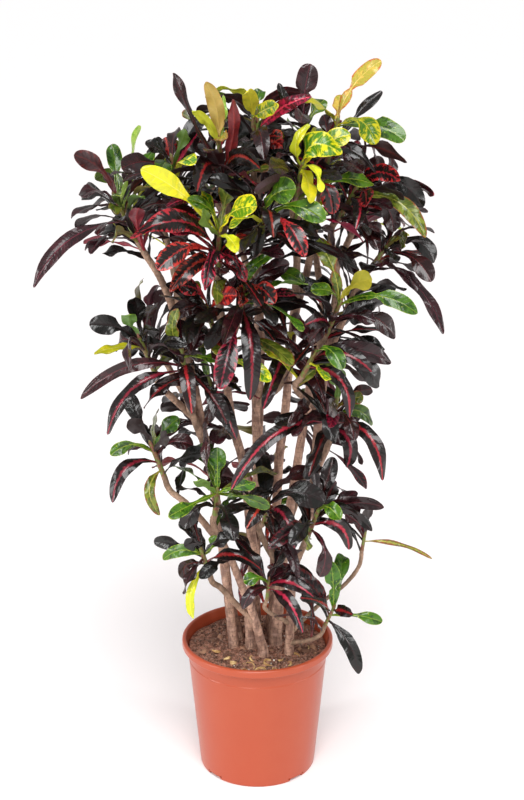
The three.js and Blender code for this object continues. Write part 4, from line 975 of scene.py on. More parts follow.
def unit(values):
    values = np.asarray(values, float)
    return values / math.sqrt(values @ values)


def curve_point(points, share):
    """The point of the curve at a share of the way from its first point to its last."""
    last = len(points) - 1
    whole = int(last * share)
    weight = last * share - whole
    if whole == last:
        whole, weight = last - 1, 1.0
    start, end = points[whole], points[whole + 1]
    before = points[whole - 1] if whole > 0 else 2 * points[0] - points[1]
    after = points[whole + 2] if whole + 2 <= last else 2 * points[last] - points[last - 1]
    leaving, arriving = (end - before) / 2, (after - start) / 2
    return (start + leaving * weight + (3 * (end - start) - 2 * leaving - arriving) * weight ** 2
            + (2 * (start - end) + leaving + arriving) * weight ** 3)


def grow_limb(limb, trunk):
    shoot = SHOOTS[limb["shoot"]]
    end, lean = np.array(shoot["foot"], float), unit(shoot["lean"])
    if trunk is None:
        start = np.array((*limb["foot"], SOIL_LEVEL + COLLAR_RISE), float)
    else:
        above = next(at for at, point in enumerate(trunk.line) if point[2] >= limb["fork"])
        low, high = trunk.line[above - 1], trunk.line[above]
        start = low + (high - low) * (limb["fork"] - low[2]) / (high[2] - low[2])
    via = [np.array(point, float) for point in limb.get("via", ())]
    points = [start, *via, end - LIMB_ARRIVAL * lean, end]
    steps = LINE_STEPS * (len(points) - 1)
    line = np.array([curve_point(points, step / steps) for step in range(steps + 1)])
    radii = mix(limb["radius"], LIMB_TIP_RADIUS, (np.arange(steps + 1) / steps) ** LIMB_TAPER)
    return SimpleNamespace(points=points, line=line, radii=radii, radius=limb["radius"], trunk=trunk)


def grow_stems():
    stems = {}
    for name, limbs in STEMS.items():
        grown = []
        for limb in limbs:
            grown.append(grow_limb(limb, grown[0] if grown else None))
        stems[name] = grown
    return stems


stems = grow_stems()
WOOD = np.vstack([limb.line for limbs in stems.values() for limb in limbs])
WOOD_RADII = np.concatenate([limb.radii for limbs in stems.values() for limb in limbs])
print("limbs:", sum(len(limbs) for limbs in stems.values()), "points along them:", len(WOOD))

# %% [markdown]
# ## The rule of the leaves
#
# A blade is a midrib, a gentle arc from its root on the shoot to its tip, with a half width at each
# place along it. Spoons are a round paddle on a long narrow neck, straps are widest in the middle and
# taper both ways, waisted blades shrink almost to the midrib half way, and curls turn about theirs.
# Everything here works on a whole row of places at once, so that thousands of points cost little.

# %% The shape of a blade
STALK_HALF = 1.4
NECK = {"spoon": 0.4, "waisted": 0.62}
PADDLE_END = 0.78
PADDLE_ROUND = 0.22
WAIST_DEPTH = 0.78
STRAP_END = 0.45
FOLD = 0.16


def half_width(form, width, at):
    """Half the width of a blade at shares of its length, in millimetres."""
    if form in ("spoon", "waisted"):
        neck = mix(STALK_HALF, NECK[form] * width / 2, smooth(0.02, 0.3, at))
        half = mix(neck, width / 2, smooth(0.4, 0.72, at))
        past = np.clip(at - PADDLE_END, 0, None) / PADDLE_ROUND
        half = half * np.sqrt(np.clip(1 - past ** 2, 0, None))
        if form == "waisted":
            half = half * (1 - WAIST_DEPTH * np.exp(-(((at - 0.5) / 0.06) ** 2)))
        return half
    half = mix(STALK_HALF, width / 2, smooth(0.03, 0.42, at))
    return half * (1 - (np.clip(at - STRAP_END, 0, None) / (1 - STRAP_END)) ** 2.2)


def blade_frame(leaf, at, turning=1.0):
    """The midrib, the way across, the upper side and the half width at shares of a blade's length."""
    share = np.asarray(at, float)[:, None]
    rest = 1 - share
    middle = leaf.root * rest * rest + leaf.bend * 2 * rest * share + leaf.tip * share * share
    way = (leaf.bend - leaf.root) * rest + (leaf.tip - leaf.bend) * share
    way /= np.linalg.norm(way, axis=1)[:, None]
    flat_up = np.cross(way, leaf.side)
    flat_up /= np.linalg.norm(flat_up, axis=1)[:, None]
    flat_across = np.cross(flat_up, way)
    turn = turning * (leaf.roll * smooth(0, 0.4, share) + leaf.twist * share)
    across = flat_across * np.cos(turn) - flat_up * np.sin(turn)
    up = flat_up * np.cos(turn) + flat_across * np.sin(turn)
    return middle, across, up, half_width(leaf.form, leaf.width, share[:, 0])


def blade_lift(leaf, at, over, half):
    """How far the surface stands above the midrib, over running from -1 at one edge to 1 at the other."""
    wave = leaf.wave * over * np.sin(leaf.waves * at + leaf.phase) * (half / leaf.width)
    return FOLD * np.abs(over) * half + wave


# %% [markdown]
# A leaf may not grow through another one or through wood. So each new leaf is tried as a net of
# points: where it comes too near to a leaf that is already there, it is moved a little and tried
# again. Leaves of one shoot may meet near their roots, where they all grow out of the same stem. The
# test runs thousands of times, so it first drops everything that is too far away to matter.

# %% Keep leaves clear of each other
FACE_CLEARANCE = 3.4
EDGE_CLEARANCE = 5
WOOD_CLEARANCE = 3.5
ROOT_ZONE = 0.17
STALK_SHARE = 0.25
STALK_SHARE_ACROSS = 0.1
SAMPLE_AT = (np.arange(22) + 0.3) / (22 - 0.7)
SAMPLE_OVER = np.linspace(-1, 1, 5)
MOST_LEAVES = 1500


class Canopy:
    """All leaves that have found their place, with the shoots and the wood that they keep clear of."""

    def __init__(self, shoots):
        samples = len(SAMPLE_AT) * len(SAMPLE_OVER)
        self.leaves = []
        self.at = np.repeat(SAMPLE_AT, len(SAMPLE_OVER))
        self.points = np.zeros((MOST_LEAVES, samples, 3))
        self.ups = np.zeros((MOST_LEAVES, samples, 3))
        self.centres = np.zeros((MOST_LEAVES, 3))
        self.reaches = np.zeros(MOST_LEAVES)
        self.nodes = np.zeros(MOST_LEAVES, int)
        self.stems = np.array([point for shoot in shoots for point in shoot.points])
        self.stem_radii = np.array([radius for shoot in shoots for radius in shoot.radii])
        self.stem_nodes = np.array([node for shoot in shoots for node in shoot.point_nodes])
        self.stem_shoots = np.repeat([shoot.index for shoot in shoots], LINE_STEPS + 1)

    def sample(self, leaf):
        middle, across, up, half = blade_frame(leaf, SAMPLE_AT)
        over, at, half = SAMPLE_OVER[None, :, None], SAMPLE_AT[:, None, None], half[:, None, None]
        lift = blade_lift(leaf, at, over, half)
        points = middle[:, None] + across[:, None] * over * half + up[:, None] * lift
        leaf.points = points.reshape(-1, 3)
        leaf.ups = np.repeat(up, len(SAMPLE_OVER), axis=0)
        leaf.centre = (leaf.root + leaf.tip + leaf.bend) / 3
        leaf.reach = math.sqrt(((leaf.points - leaf.centre) ** 2).sum(1).max())

    def clear(self, leaf, shoot, ease=1.0, grown_in_wood=0.0):
        """True if the leaf is clear of all that grows. An ease below 1 lets leaves come nearer."""
        self.sample(leaf)
        space = WOOD_CLEARANCE * ease
        away = np.linalg.norm(WOOD - leaf.centre, axis=1)
        near = away <= leaf.reach + WOOD_RADII + space
        if near.any():
            gaps = np.linalg.norm(leaf.points[:, None] - WOOD[near][None], axis=2)
            close = (gaps < WOOD_RADII[near] + space) & (self.at[:, None] >= grown_in_wood)
            if close.any():
                return False
        away = np.linalg.norm(self.stems - leaf.centre, axis=1)
        near = away <= leaf.reach + self.stem_radii + space
        if near.any():
            own = self.stem_shoots[near] == shoot.index
            same = self.stem_nodes[near] == leaf.node
            grown_in = np.where(own, np.where(same, STALK_SHARE, STALK_SHARE_ACROSS), 0.0)
            gaps = np.linalg.norm(leaf.points[:, None] - self.stems[near][None], axis=2)
            close = (gaps < self.stem_radii[near] + space) & (self.at[:, None] >= grown_in)
            if close.any():
                return False
        count = len(self.leaves)
        edge, face = EDGE_CLEARANCE * ease, FACE_CLEARANCE * ease
        away = np.linalg.norm(self.centres[:count] - leaf.centre, axis=1)
        near = np.nonzero(away <= self.reaches[:count] + leaf.reach + edge)[0]
        if not len(near):
            return True
        points, ups = self.points[near].reshape(-1, 3), self.ups[near].reshape(-1, 3)
        span = edge + face
        inside = ((points > leaf.points.min(0) - span) & (points < leaf.points.max(0) + span)).all(1)
        shared = np.repeat(self.nodes[near] == leaf.node, len(self.at))[inside]
        at = np.tile(self.at, len(near))[inside]
        apart = leaf.points[:, None] - points[inside][None]
        above = np.abs((apart * ups[inside][None]).sum(2))
        close = (above < face) & ((apart ** 2).sum(2) - above * above < edge * edge)
        close &= ~(shared[None] & (at[None] < ROOT_ZONE) & (self.at[:, None] < ROOT_ZONE))
        return not close.any()

    def keep(self, leaf):
        at = len(self.leaves)
        self.points[at], self.ups[at] = leaf.points, leaf.ups
        self.centres[at], self.reaches[at], self.nodes[at] = leaf.centre, leaf.reach, leaf.node
        self.leaves.append(leaf)


# %% [markdown]
# Each shoot is a short straight stem. A shoot whose young leaves are bright has two nodes in the model,
# one for its foot and one for its tip, so bright leaves grow near its tip and the others near its foot.
# Every shoot has a row of random draws of its own.

# %% Set out the shoots
FIRST_SEED = 1000
SEED_STEP = 77
SKIPPED_DRAWS = 5
LOWEST_ROOT = 10


def grow_shoots():
    shoots = []
    node_count = 0
    for index, (name, row) in enumerate(SHOOTS.items()):
        shoot = SimpleNamespace(**{"hand": [], "tip": False, **row})
        shoot.name, shoot.index, shoot.held = name, index, 0
        shoot.way, shoot.foot = unit(shoot.lean), np.array(shoot.foot, float)
        shoot.nodes = [f"shoot_{name}", f"shoot_{name}_tip"] if shoot.tip else [f"shoot_{name}"]
        shoot.first_node = node_count
        node_count += len(shoot.nodes)
        shares = np.arange(LINE_STEPS + 1) / LINE_STEPS
        shoot.points = [shoot.foot + share * shoot.length * shoot.way for share in shares]
        shoot.radii = [mix(SHOOT_ROOT_RADIUS, SHOOT_TIP_RADIUS, share) for share in shares]
        shoot.point_nodes = [shoot.first_node + int(shoot.tip and share > TIP_SPLIT) for share in shares]
        shoot.draw = drawer(FIRST_SEED + SEED_STEP * index)
        for _ in range(SKIPPED_DRAWS):
            shoot.draw()
        shoots.append(shoot)
    return shoots


def root_share(shoot, share, bright):
    """Where on its shoot a leaf grows, as a share of the shoot's length."""
    lowest = LOWEST_ROOT / shoot.length
    if not shoot.tip:
        return mix(lowest, 0.95, share)
    return mix(TIP_SPLIT + 0.16, 0.96, share) if bright else mix(lowest, TIP_SPLIT - 0.16, share)


shoots = grow_shoots()
print("nodes of shoots:", sum(len(shoot.nodes) for shoot in shoots))

# %% [markdown]
# A listed leaf reaches for its own tip and turns its upper side towards the front, from where
# the plant is seen. A leaf of the rule follows from its age: leaves follow each other by the golden
# angle, old ones low, long and hanging, young ones high, short and upright. At each new attempt both
# kinds go a little further from their plan.

# %% Shape one leaf
GOLDEN_ANGLE = math.radians(137.5)
YOUNG_LEAF = dict(tilt=0.35, length=78)
OLD_LEAF = dict(tilt=1.65, length=132)
OLD_AGE = 0.42
DROOP = 0.2
FRONT = np.array((0, -0.94, 0.34))
FACING_PLACE = 0.6
FACING_SHARE = 0.9
WIDTHS = {"spoon": (23, 9), "strap": (16, 6), "waisted": (23, 6), "curl": (22, 7)}


def make_leaf(shoot, root, tip, **shape):
    chord = tip - root
    side = np.cross(shoot.way, chord)
    if np.linalg.norm(side) < 0.05 * np.linalg.norm(chord):
        side = np.cross(shoot.way, (1.0, 0.0, 0.0))
    leaf = SimpleNamespace(root=root, tip=tip, side=unit(side), **shape)
    leaf.bend = (root + tip) / 2 + unit(np.cross(chord, leaf.side)) * 2 * leaf.rise
    leaf.node = shoot.first_node + int(shoot.tip and leaf.tone in BRIGHT)
    leaf.seen = False
    return leaf


def facing_roll(leaf):
    """The roll that turns one of the leaf's faces to the front."""
    _, across, up, _ = blade_frame(leaf, [FACING_PLACE], turning=0.0)
    turn = math.atan2(FRONT @ across[0], FRONT @ up[0])
    return turn - math.copysign(math.pi, turn) if abs(turn) > math.pi / 2 else turn


def hand_leaf(shoot, row, attempt):
    x, y, z, width, form, tone, rise = row
    draw = shoot.draw
    shift = np.array([draw() - 0.5, draw() - 0.5, draw() - 0.5]) * 1.4 * attempt
    reach = np.array((x, y, z), float)
    steep = math.acos(unit(reach) @ shoot.way) / math.pi
    share = root_share(shoot, max(0.0, 1 - 1.5 * steep), tone in BRIGHT)
    curl = 1 if form == "curl" else 0
    leaf = make_leaf(
        shoot, shoot.foot + share * shoot.length * shoot.way, shoot.foot + reach + shift,
        form=form, tone=tone, width=width * (1 - 0.005 * attempt),
        rise=rise + (draw() - 0.5) * attempt,
        roll=(draw() - 0.5) * (0.5 + 0.06 * attempt),
        twist=(draw() - 0.5) * (0.5 + 1.8 * curl),
        wave=2 + 5 * draw() * (1 + curl), waves=9 + 3 * draw(), phase=6.28 * draw())
    leaf.roll += FACING_SHARE * facing_roll(leaf)
    leaf.seen = True
    return leaf


def rule_leaf(shoot, draw, index, count, attempt, size=1.0, oldest=OLD_LEAF, droop=DROOP, forms=FORMS):
    age = 1 - (index + 0.5) / count
    turn = GOLDEN_ANGLE * index + shoot.start + (draw() - 0.5) * (0.5 + 0.35 * attempt)
    tilt = mix(YOUNG_LEAF["tilt"], oldest["tilt"], age ** 0.9) + (draw() - 0.5) * (0.4 + 0.06 * attempt)
    form = forms[int(draw() * len(forms))]
    shades = MIXES[shoot.mix]["old" if age > OLD_AGE else "young"]
    tone = shades[int(draw() * len(shades))]
    usual = size * mix(YOUNG_LEAF["length"], oldest["length"], age ** 0.6)
    length = usual * (0.85 + 0.3 * draw()) * (1 - 0.018 * attempt)
    width = size * (WIDTHS[form][0] + WIDTHS[form][1] * draw()) - 0.3 * attempt
    flat = unit(np.cross(shoot.way, (0.0, -1.0, 0.0)))
    out = flat * math.cos(turn) + np.cross(shoot.way, flat) * math.sin(turn)
    share = root_share(shoot, 1 - age, tone in BRIGHT)
    root = shoot.foot + share * shoot.length * shoot.way
    tip = root + length * math.cos(tilt) * shoot.way + length * math.sin(tilt) * out
    tip[2] -= droop * length * age
    curl = 1 if form == "curl" else 0
    return make_leaf(
        shoot, root, tip, form=form, tone=tone, width=width,
        rise=length * (0.08 + 0.16 * draw()), roll=(draw() - 0.5) * 1.6,
        twist=(draw() - 0.5) * (0.6 + 2 * curl),
        wave=2 + 5 * draw() * (1 + curl), waves=9 + 3 * draw(), phase=6.28 * draw())


# %% [markdown]
# The listed leaves come first, one for each shoot in turn, so that every shoot gets its best
# ones, and the rule then fills each shoot. A tip has to stay inside the plant's outline, which is a row
# of heights, each with the distance from the middle that a leaf may reach there. The random draws are
# taken in the order in which the solids took theirs, so that every leaf lands where its solid is.

# %% Place the leaves of the model
HAND_TRIES = 40
RULE_TRIES = 18
OUTLINE = ((250, 110), (330, 140), (400, 170), (470, 195), (560, 190), (640, 215), (700, 205),
           (760, 195), (800, 235), (860, 265), (930, 262), (1000, 220), (1050, 150), (1085, 70), (1100, 0))


def inside_outline(leaf, lower=0):
    """True if the leaf's tip stays inside the outline, which may first be lowered."""
    x, y, z = leaf.tip
    if z <= SOIL_LEVEL + 40:
        return False
    z += lower
    for (low, near), (high, far) in zip(OUTLINE, OUTLINE[1:]):
        if z <= high:
            return math.hypot(x, y) < mix(near, far, max(0.0, (z - low) / (high - low)))
    return False


def place_model_leaves(shoots, canopy):
    for rank in range(max(len(shoot.hand) for shoot in shoots)):
        for shoot in shoots:
            if rank >= len(shoot.hand):
                continue
            for attempt in range(HAND_TRIES):
                leaf = hand_leaf(shoot, shoot.hand[rank], attempt)
                if canopy.clear(leaf, shoot):
                    canopy.keep(leaf)
                    shoot.held += 1
                    break
    for shoot in shoots:
        count = shoot.leaves - shoot.held
        shoot.start = 6.28 * shoot.draw()
        for index in range(count):
            for attempt in range(RULE_TRIES):
                leaf = rule_leaf(shoot, shoot.draw, index, count, attempt)
                if inside_outline(leaf) and canopy.clear(leaf, shoot):
                    canopy.keep(leaf)
                    break


canopy = Canopy(shoots)
place_model_leaves(shoots, canopy)
MODEL_LEAVES = len(canopy.leaves)
print("leaves of the model:", MODEL_LEAVES)

# %% [markdown]
# ## Bark
#
# Croton wood is pale and a little knobbly: every leaf that fell has left a raised scar, and the scars
# climb the stem in a spiral. A tube is a row of rings along a line. We first need the ways out of the
# line at each ring, the faces between the rings, and how high the scars stand at each corner.

# %% Tubes and scars
SCAR_STEP = 8.0
SCAR_LENGTH = 1.5
SCAR_WIDTH = 0.75
HINT_ACROSS = (0.13, -1.0, 0.07)


def ways_out(line, turns):
    """Ways out of a line for each turn round it, which twist along it as little as they can."""
    ways = np.gradient(line, axis=0)
    ways /= np.linalg.norm(ways, axis=1)[:, None]
    first = np.zeros_like(ways)
    across = unit(np.cross(ways[0], HINT_ACROSS))
    for at, way in enumerate(ways):
        across = unit(across - way * (across @ way))
        first[at] = across
    second = np.cross(ways, first)
    return first[:, None] * np.cos(turns)[None, :, None] + second[:, None] * np.sin(turns)[None, :, None]


def tube_faces(rows, sides):
    """Faces of a tube of rings, with a cap of four-sided faces at both ends."""
    ring, side = np.meshgrid(np.arange(rows - 1), np.arange(sides), indexing="ij")
    a, b = ring * sides + side, ring * sides + (side + 1) % sides
    walls = np.stack([a, b, b + sides, a + sides], axis=-1).reshape(-1, 4)
    at = np.arange(sides // 2 - 1)
    cap = np.stack([at, sides - 1 - at, sides - 2 - at, at + 1], axis=-1)
    return np.vstack([walls, cap, cap[:, ::-1] + (rows - 1) * sides])


def scar_relief(along, turns, draw):
    """How high the leaf scars stand, for rings at distances along a limb."""
    relief = np.zeros((len(along), len(turns)))
    place, turn = SCAR_STEP * draw(), 6.28 * draw()
    while place < along[-1]:
        turn += GOLDEN_ANGLE
        swing = (turns - turn + math.pi) % (2 * math.pi) - math.pi
        height = np.exp(-(((along - place) / SCAR_LENGTH) ** 2))[:, None]
        relief = np.maximum(relief, height * np.exp(-((swing / SCAR_WIDTH) ** 2))[None, :])
        place += SCAR_STEP * (0.6 + 0.8 * draw())
    return relief


# %% [markdown]
# Each limb is now wrapped in one tube whose radius swells at its scars and where it leaves its trunk,
# and the thinnest twigs are a little slimmer than their solids. A trunk goes on down into the soil. The
# tube carries its length along the limb, the height of the nearest scar and its thickness as an
# attribute, which the finish reads.

# %% Wrap the limbs in bark
BARK_SEED = 5000
BARK_SEED_STEP = 13
BARK_SIDES = 18
BARK_STEP = 3.2
BURIED_RINGS = 12
SCAR_RISE = 0.55
RING_RISE = 0.16
FORK_FLARE = 1.2
FLARE_LENGTH = 7.0
FOOT_FLARE_LENGTH = 21.0
TWIG_RADIUS = 5
TWIG_SLIM = 0.72
BARK_LUMP = 0.07
LUMP_SIZE = 11


def slimness(limb):
    """How much of its model's thickness a limb keeps."""
    return TWIG_SLIM if limb.radius < TWIG_RADIUS else 1.0


def wrap_limb(limb, draw):
    """Corners, faces and the bark attribute of one limb's tube."""
    foot = limb.points[0]
    steps = int(np.linalg.norm(np.diff(limb.line, axis=0), axis=1).sum() / BARK_STEP)
    shares = np.arange(steps + 1) / steps
    line = np.array([curve_point(limb.points, share) for share in shares])
    radii = slimness(limb) * mix(limb.radius, LIMB_TIP_RADIUS, shares ** LIMB_TAPER)
    if limb.trunk is None:
        low = np.linspace(SOIL_LEVEL - SOIL_PLANTING, foot[2], BURIED_RINGS, endpoint=False)
        buried = np.column_stack([np.full((BURIED_RINGS, 2), foot[:2]), low])
        line, radii = np.vstack([buried, line]), np.concatenate([np.full(BURIED_RINGS, radii[0]), radii])
    along = np.concatenate([[0], np.cumsum(np.linalg.norm(np.diff(line, axis=0), axis=1))])
    turns = np.linspace(0, 2 * math.pi, BARK_SIDES, endpoint=False)
    scars = scar_relief(along, turns, draw)
    swell = radii[:, None] + SCAR_RISE * scars
    swell += RING_RISE * np.sin(2 * math.pi * along / SCAR_STEP + 3 * np.sin(along / 23))[:, None]
    if limb.trunk is None:
        swell += FORK_FLARE * np.exp(-((line[:, 2] - SOIL_LEVEL) / FOOT_FLARE_LENGTH) ** 2)[:, None]
    else:
        swell += FORK_FLARE * np.exp(-np.clip(along - limb.trunk.radius, 0, None) / FLARE_LENGTH)[:, None]
    out = ways_out(line, turns)
    corners = line[:, None] + out * swell[..., None]
    lumps = [noise.noise(Vector(corner) / LUMP_SIZE) for corner in corners.reshape(-1, 3)]
    corners += out * (np.reshape(lumps, swell.shape) * BARK_LUMP * radii[:, None])[..., None]
    bark = np.stack(np.broadcast_arrays(along[:, None], scars, radii[:, None] / 10), axis=-1)
    return corners.reshape(-1, 3), tube_faces(len(line), BARK_SIDES), bark.reshape(-1, 3)


bark_pieces = []
for number, (name, limbs) in enumerate(stems.items()):
    draw = drawer(BARK_SEED + BARK_SEED_STEP * number)
    corners, faces, bark = stack([wrap_limb(limb, draw) for limb in limbs])
    bark_pieces.append(build(f"{name}_bark", corners, faces, 60, "bark", name, bark=bark))

# %% [markdown]
# ## More leaves
#
# The solids carry only the leaves that give the plant its outline. The real crown is packed, so each
# shoot now gets more leaves by the same rule, with draws of their own, smaller and mostly dark. Low
# on the plant they are few and hang like the others; in the crown there are many more, and they reach
# up and out. Some grow from the wood just below the green shoot. They may come nearer to each other
# than solids may, since they are as thin as real leaves.

# %% Fill the shoots
EXTRA_SEED = 9000
EXTRA_HEIGHTS = (640, 860)
EXTRA_LOW = dict(share=0.4, tilt=1.5, droop=0.2, lower=0)
EXTRA_HIGH = dict(share=3.4, tilt=1.2, droop=0.0, lower=40)
EXTRA_LENGTH = 125
EXTRA_BACK = 4
EXTRA_TRIES = 8
EXTRA_EASE = 0.5
EXTRA_SIZE = (0.72, 1.05)
EXTRA_FORMS = ("spoon", "spoon", "spoon", "waisted", "spoon", "curl")
EXTRA_TONES = ("maroon", "black", "maroon", "black", "maroon", "black", "redrib", "maroon", "black",
               "black", "maroon", "olive", "maroon", "green", "black", "crimson", "maroon", "black",
               "variegated", "redrib")
WOODY_STRETCH = 120
WOODY_LEAVES = 0.6
WOODY_SHARE = 0.14


def grow_extra(shoot, canopy, draw, index, count, form, limb=None):
    """One more leaf on a shoot, or on the wood of its limb."""
    tone = EXTRA_TONES[int(draw() * len(EXTRA_TONES))]
    if tone == "variegated" and shoot.foot[2] < EXTRA_HEIGHTS[0]:
        tone = "black"
    below = WOODY_STRETCH * draw()
    in_wood = 0.0 if limb is None else WOODY_SHARE
    for attempt in range(EXTRA_TRIES):
        size = mix(*EXTRA_SIZE, draw())
        oldest = dict(tilt=form["tilt"], length=EXTRA_LENGTH)
        leaf = rule_leaf(shoot, draw, index, count, attempt, size, oldest, form["droop"], EXTRA_FORMS)
        if limb is not None:
            place = limb.line[max(2, len(limb.line) - 1 - int(below / limb.spacing))]
            shift = place - leaf.root
            leaf.root, leaf.bend, leaf.tip = place, leaf.bend + shift, leaf.tip + shift
        leaf.tone = tone
        leaf.node = shoot.first_node + int(shoot.tip and tone in BRIGHT and limb is None)
        if inside_outline(leaf, form["lower"]) and canopy.clear(leaf, shoot, EXTRA_EASE, in_wood):
            canopy.keep(leaf)
            return


def fill_shoots(shoots, canopy, limbs):
    """More leaves on every shoot. The form of growth goes from the low one to the high one."""
    for shoot in shoots:
        draw = drawer(EXTRA_SEED + SEED_STEP * shoot.index)
        shoot.start = 6.28 * draw()
        height = smooth(*EXTRA_HEIGHTS, shoot.foot[2])
        form = {fact: mix(EXTRA_LOW[fact], EXTRA_HIGH[fact], height) for fact in EXTRA_LOW}
        count = round(shoot.leaves * form["share"]) + (0 if shoot.hand else EXTRA_BACK)
        for index in range(count):
            grow_extra(shoot, canopy, draw, index, count, form)
        for index in range(round(WOODY_LEAVES * count)):
            grow_extra(shoot, canopy, draw, index, count, form, limbs[shoot.name])


limbs_of_shoots = {}
for name, limbs in stems.items():
    for row, limb in zip(STEMS[name], limbs):
        limb.spacing = np.linalg.norm(np.diff(limb.line, axis=0), axis=1).mean()
        limbs_of_shoots[row["shoot"]] = limb
fill_shoots(shoots, canopy, limbs_of_shoots)
print("leaves in all:", len(canopy.leaves), "of them new:", len(canopy.leaves) - MODEL_LEAVES)

# %% [markdown]
# ## One leaf
#
# A leaf starts as a flat grid that Solidify makes a thin slab. That slab is only a blank: for every
# leaf, a copy of it is bent along the leaf's own midrib. Across the blade the columns lie closer
# together near the midrib, which sinks into a groove above and stands out as a rib below. The blade
# is half a millimetre thin and thinner towards its tip, which is a little rounder than the rule's,
# and its edge ripples and rolls down.

# %% Cut the blank
BLANK_ROWS = 18
BLANK_COLUMNS = 6
CROWDING = 1.6
BLADE_TOP = 0.22
BLADE_UNDER = 0.28
TIP_THINNING = 0.35
STALK_ROUND = 1.1
RIB_DEPTH = 0.95
RIB_SPREAD = 1.1
GROOVE_DEPTH = 0.45
EDGE_ROLL = 0.9
RIPPLE = 2.0
RIPPLE_PACE = 17
SPOON_NECK = 0.45
SPOON_NECK_AT = 0.47
SPOON_NECK_REACH = 0.15
TIP_HALF = 0.3


def cut_blank():
    """A slab's corners as (at, over, side) and its faces: at from 0 to 1, over and side from -1 to 1."""
    corners, faces = thin_slab(BLANK_ROWS, BLANK_COLUMNS)
    at = 1 - (0.5 - corners[:, 0] / 2) ** CROWDING
    over = np.sign(corners[:, 1]) * np.abs(corners[:, 1]) ** CROWDING
    return SimpleNamespace(at=at, over=over, side=np.sign(corners[:, 2]), faces=faces)


blank = cut_blank()
print("one leaf:", len(blank.at), "corners and", len(blank.faces), "faces")


def detailed_half(leaf, half):
    """The rule's half widths, with a longer neck to a spoon and a rounder tip to a strap."""
    if leaf.form == "spoon":
        neck = np.exp(-(((blank.at - SPOON_NECK_AT) / SPOON_NECK_REACH) ** 2))
        half = half * (1 - SPOON_NECK * neck)
    if leaf.form in ("strap", "curl"):
        end = np.clip((blank.at - STRAP_END) / (1 - STRAP_END), 0, 1)
        half = half * (1 - end ** 3.4) ** 0.6 / np.maximum(1 - end ** 2.2, 0.01)
    return np.maximum(half, TIP_HALF)


def bend_leaf(leaf):
    """The blank bent onto a leaf, with what its finish reads of the blade, of the leaf and its glow."""
    at, over, count = blank.at, blank.over, len(blank.at)
    middle, across, up, half = blade_frame(leaf, at)
    half = detailed_half(leaf, half)
    near_rib = np.exp(-((np.abs(over) * half / RIB_SPREAD) ** 2))
    blade = smooth(1.6, 4.5, half)
    lift = blade_lift(leaf, at, over, half)
    lift += blade * RIPPLE * over ** 2 * np.sin(RIPPLE_PACE * at + 5 * leaf.phase + 2 * np.sign(over))
    lift -= blade * EDGE_ROLL * np.abs(over) ** 5
    lift += blade * GROOVE_DEPTH * (1 - near_rib)
    below = mix(STALK_ROUND, BLADE_UNDER + RIB_DEPTH * (1 - 0.75 * at) * near_rib, blade)
    above = mix(STALK_ROUND * 0.6, BLADE_TOP, blade)
    thin = mix(1.0, TIP_THINNING, np.clip(blade * at, 0, 1) ** 4)
    wall = np.where(blank.side > 0, above, -below) * thin
    corners = middle + across * (over * half)[:, None] + up * (lift + wall)[:, None]
    length = np.full(count, np.linalg.norm(leaf.tip - leaf.root))
    facts = np.column_stack([length, np.full(count, leaf.chance), (1 - blank.side) / 2])
    return corners, blank.faces, np.column_stack([at, over, half]), facts, np.full((count, 3), leaf.glow)

# %% [markdown]
# ## Leafy shoots
#
# Each shoot's node gets one piece: its green stem, which ends in a small pointed bud, and all the
# leaves that the model or the rule gave it. The leaves of one colour share a finish. A shoot whose
# young leaves are bright has a second piece for its tip, as it has a second node in the model. Each
# leaf also draws a chance, which shifts its colour a little, and a glow: how strongly its ribs and
# edges are coloured. High leaves glow more than low ones, and the listed leaves most.

# %% Dress the shoots
SPROUT_SIDES = 12
SPROUT_ROWS = 30
SPROUT_KNOB = 0.045
KNOB_PACE = 0.9
BUD_LENGTH = 9
CHANCE_SEED = 77
GLOW_HEIGHTS = (560, 820)
GLOW_LOW = 0.25
GLOW_BY_HAND = 0.8


def sprout(shoot, low, high):
    """The green stem of a shoot between two shares of its length, with a bud where it ends."""
    bud = BUD_LENGTH / shoot.length if high == 1 else 0
    shares = np.linspace(low, high + bud, SPROUT_ROWS)
    line = shoot.foot + shares[:, None] * shoot.length * shoot.way
    radii = mix(SHOOT_ROOT_RADIUS, SHOOT_TIP_RADIUS, np.clip(shares, 0, 1))
    radii *= slimness(limbs_of_shoots[shoot.name])
    if bud:
        radii *= np.sqrt(np.clip(1 - ((shares - high) / bud).clip(0) ** 1.3, 0.002, 1))
    turns = np.linspace(0, 2 * math.pi, SPROUT_SIDES, endpoint=False)
    knobs = SPROUT_KNOB * np.sin(shares[:, None] * shoot.length * KNOB_PACE + turns[None, :]) ** 4
    corners = line[:, None] + ways_out(line, turns) * (radii[:, None] * (1 + knobs))[..., None]
    return corners.reshape(-1, 3), tube_faces(SPROUT_ROWS, SPROUT_SIDES)


def dress_node(shoot, at, low, high):
    """One piece for one node: the sprout between two shares, and the node's leaves, tone by tone."""
    leaves = [leaf for leaf in canopy.leaves if leaf.node == shoot.first_node + at]
    tones = sorted({leaf.tone for leaf in leaves})
    corners, faces = sprout(shoot, low, high)
    plain = np.zeros((len(corners), 3))
    parts = [(corners, faces, plain, plain, plain, np.zeros(len(faces), np.int32))]
    for leaf in leaves:
        tone = np.full(len(blank.faces), 1 + tones.index(leaf.tone), np.int32)
        parts.append((*bend_leaf(leaf), tone))
    corners, faces, blades, facts, glows, tone_of_face = stack(parts)
    name = f"leaves_{shoot.name}" + ("_tip" if at else "")
    slot = "bright_leaves" if at else "dark_leaves"
    piece = build(name, corners, faces, 65, slot, shoot.nodes[at], blade=blades, leaf=facts, glow=glows)
    piece.data.polygons.foreach_set("material_index", tone_of_face)
    piece["tones"] = ["sprout", *tones]
    return piece


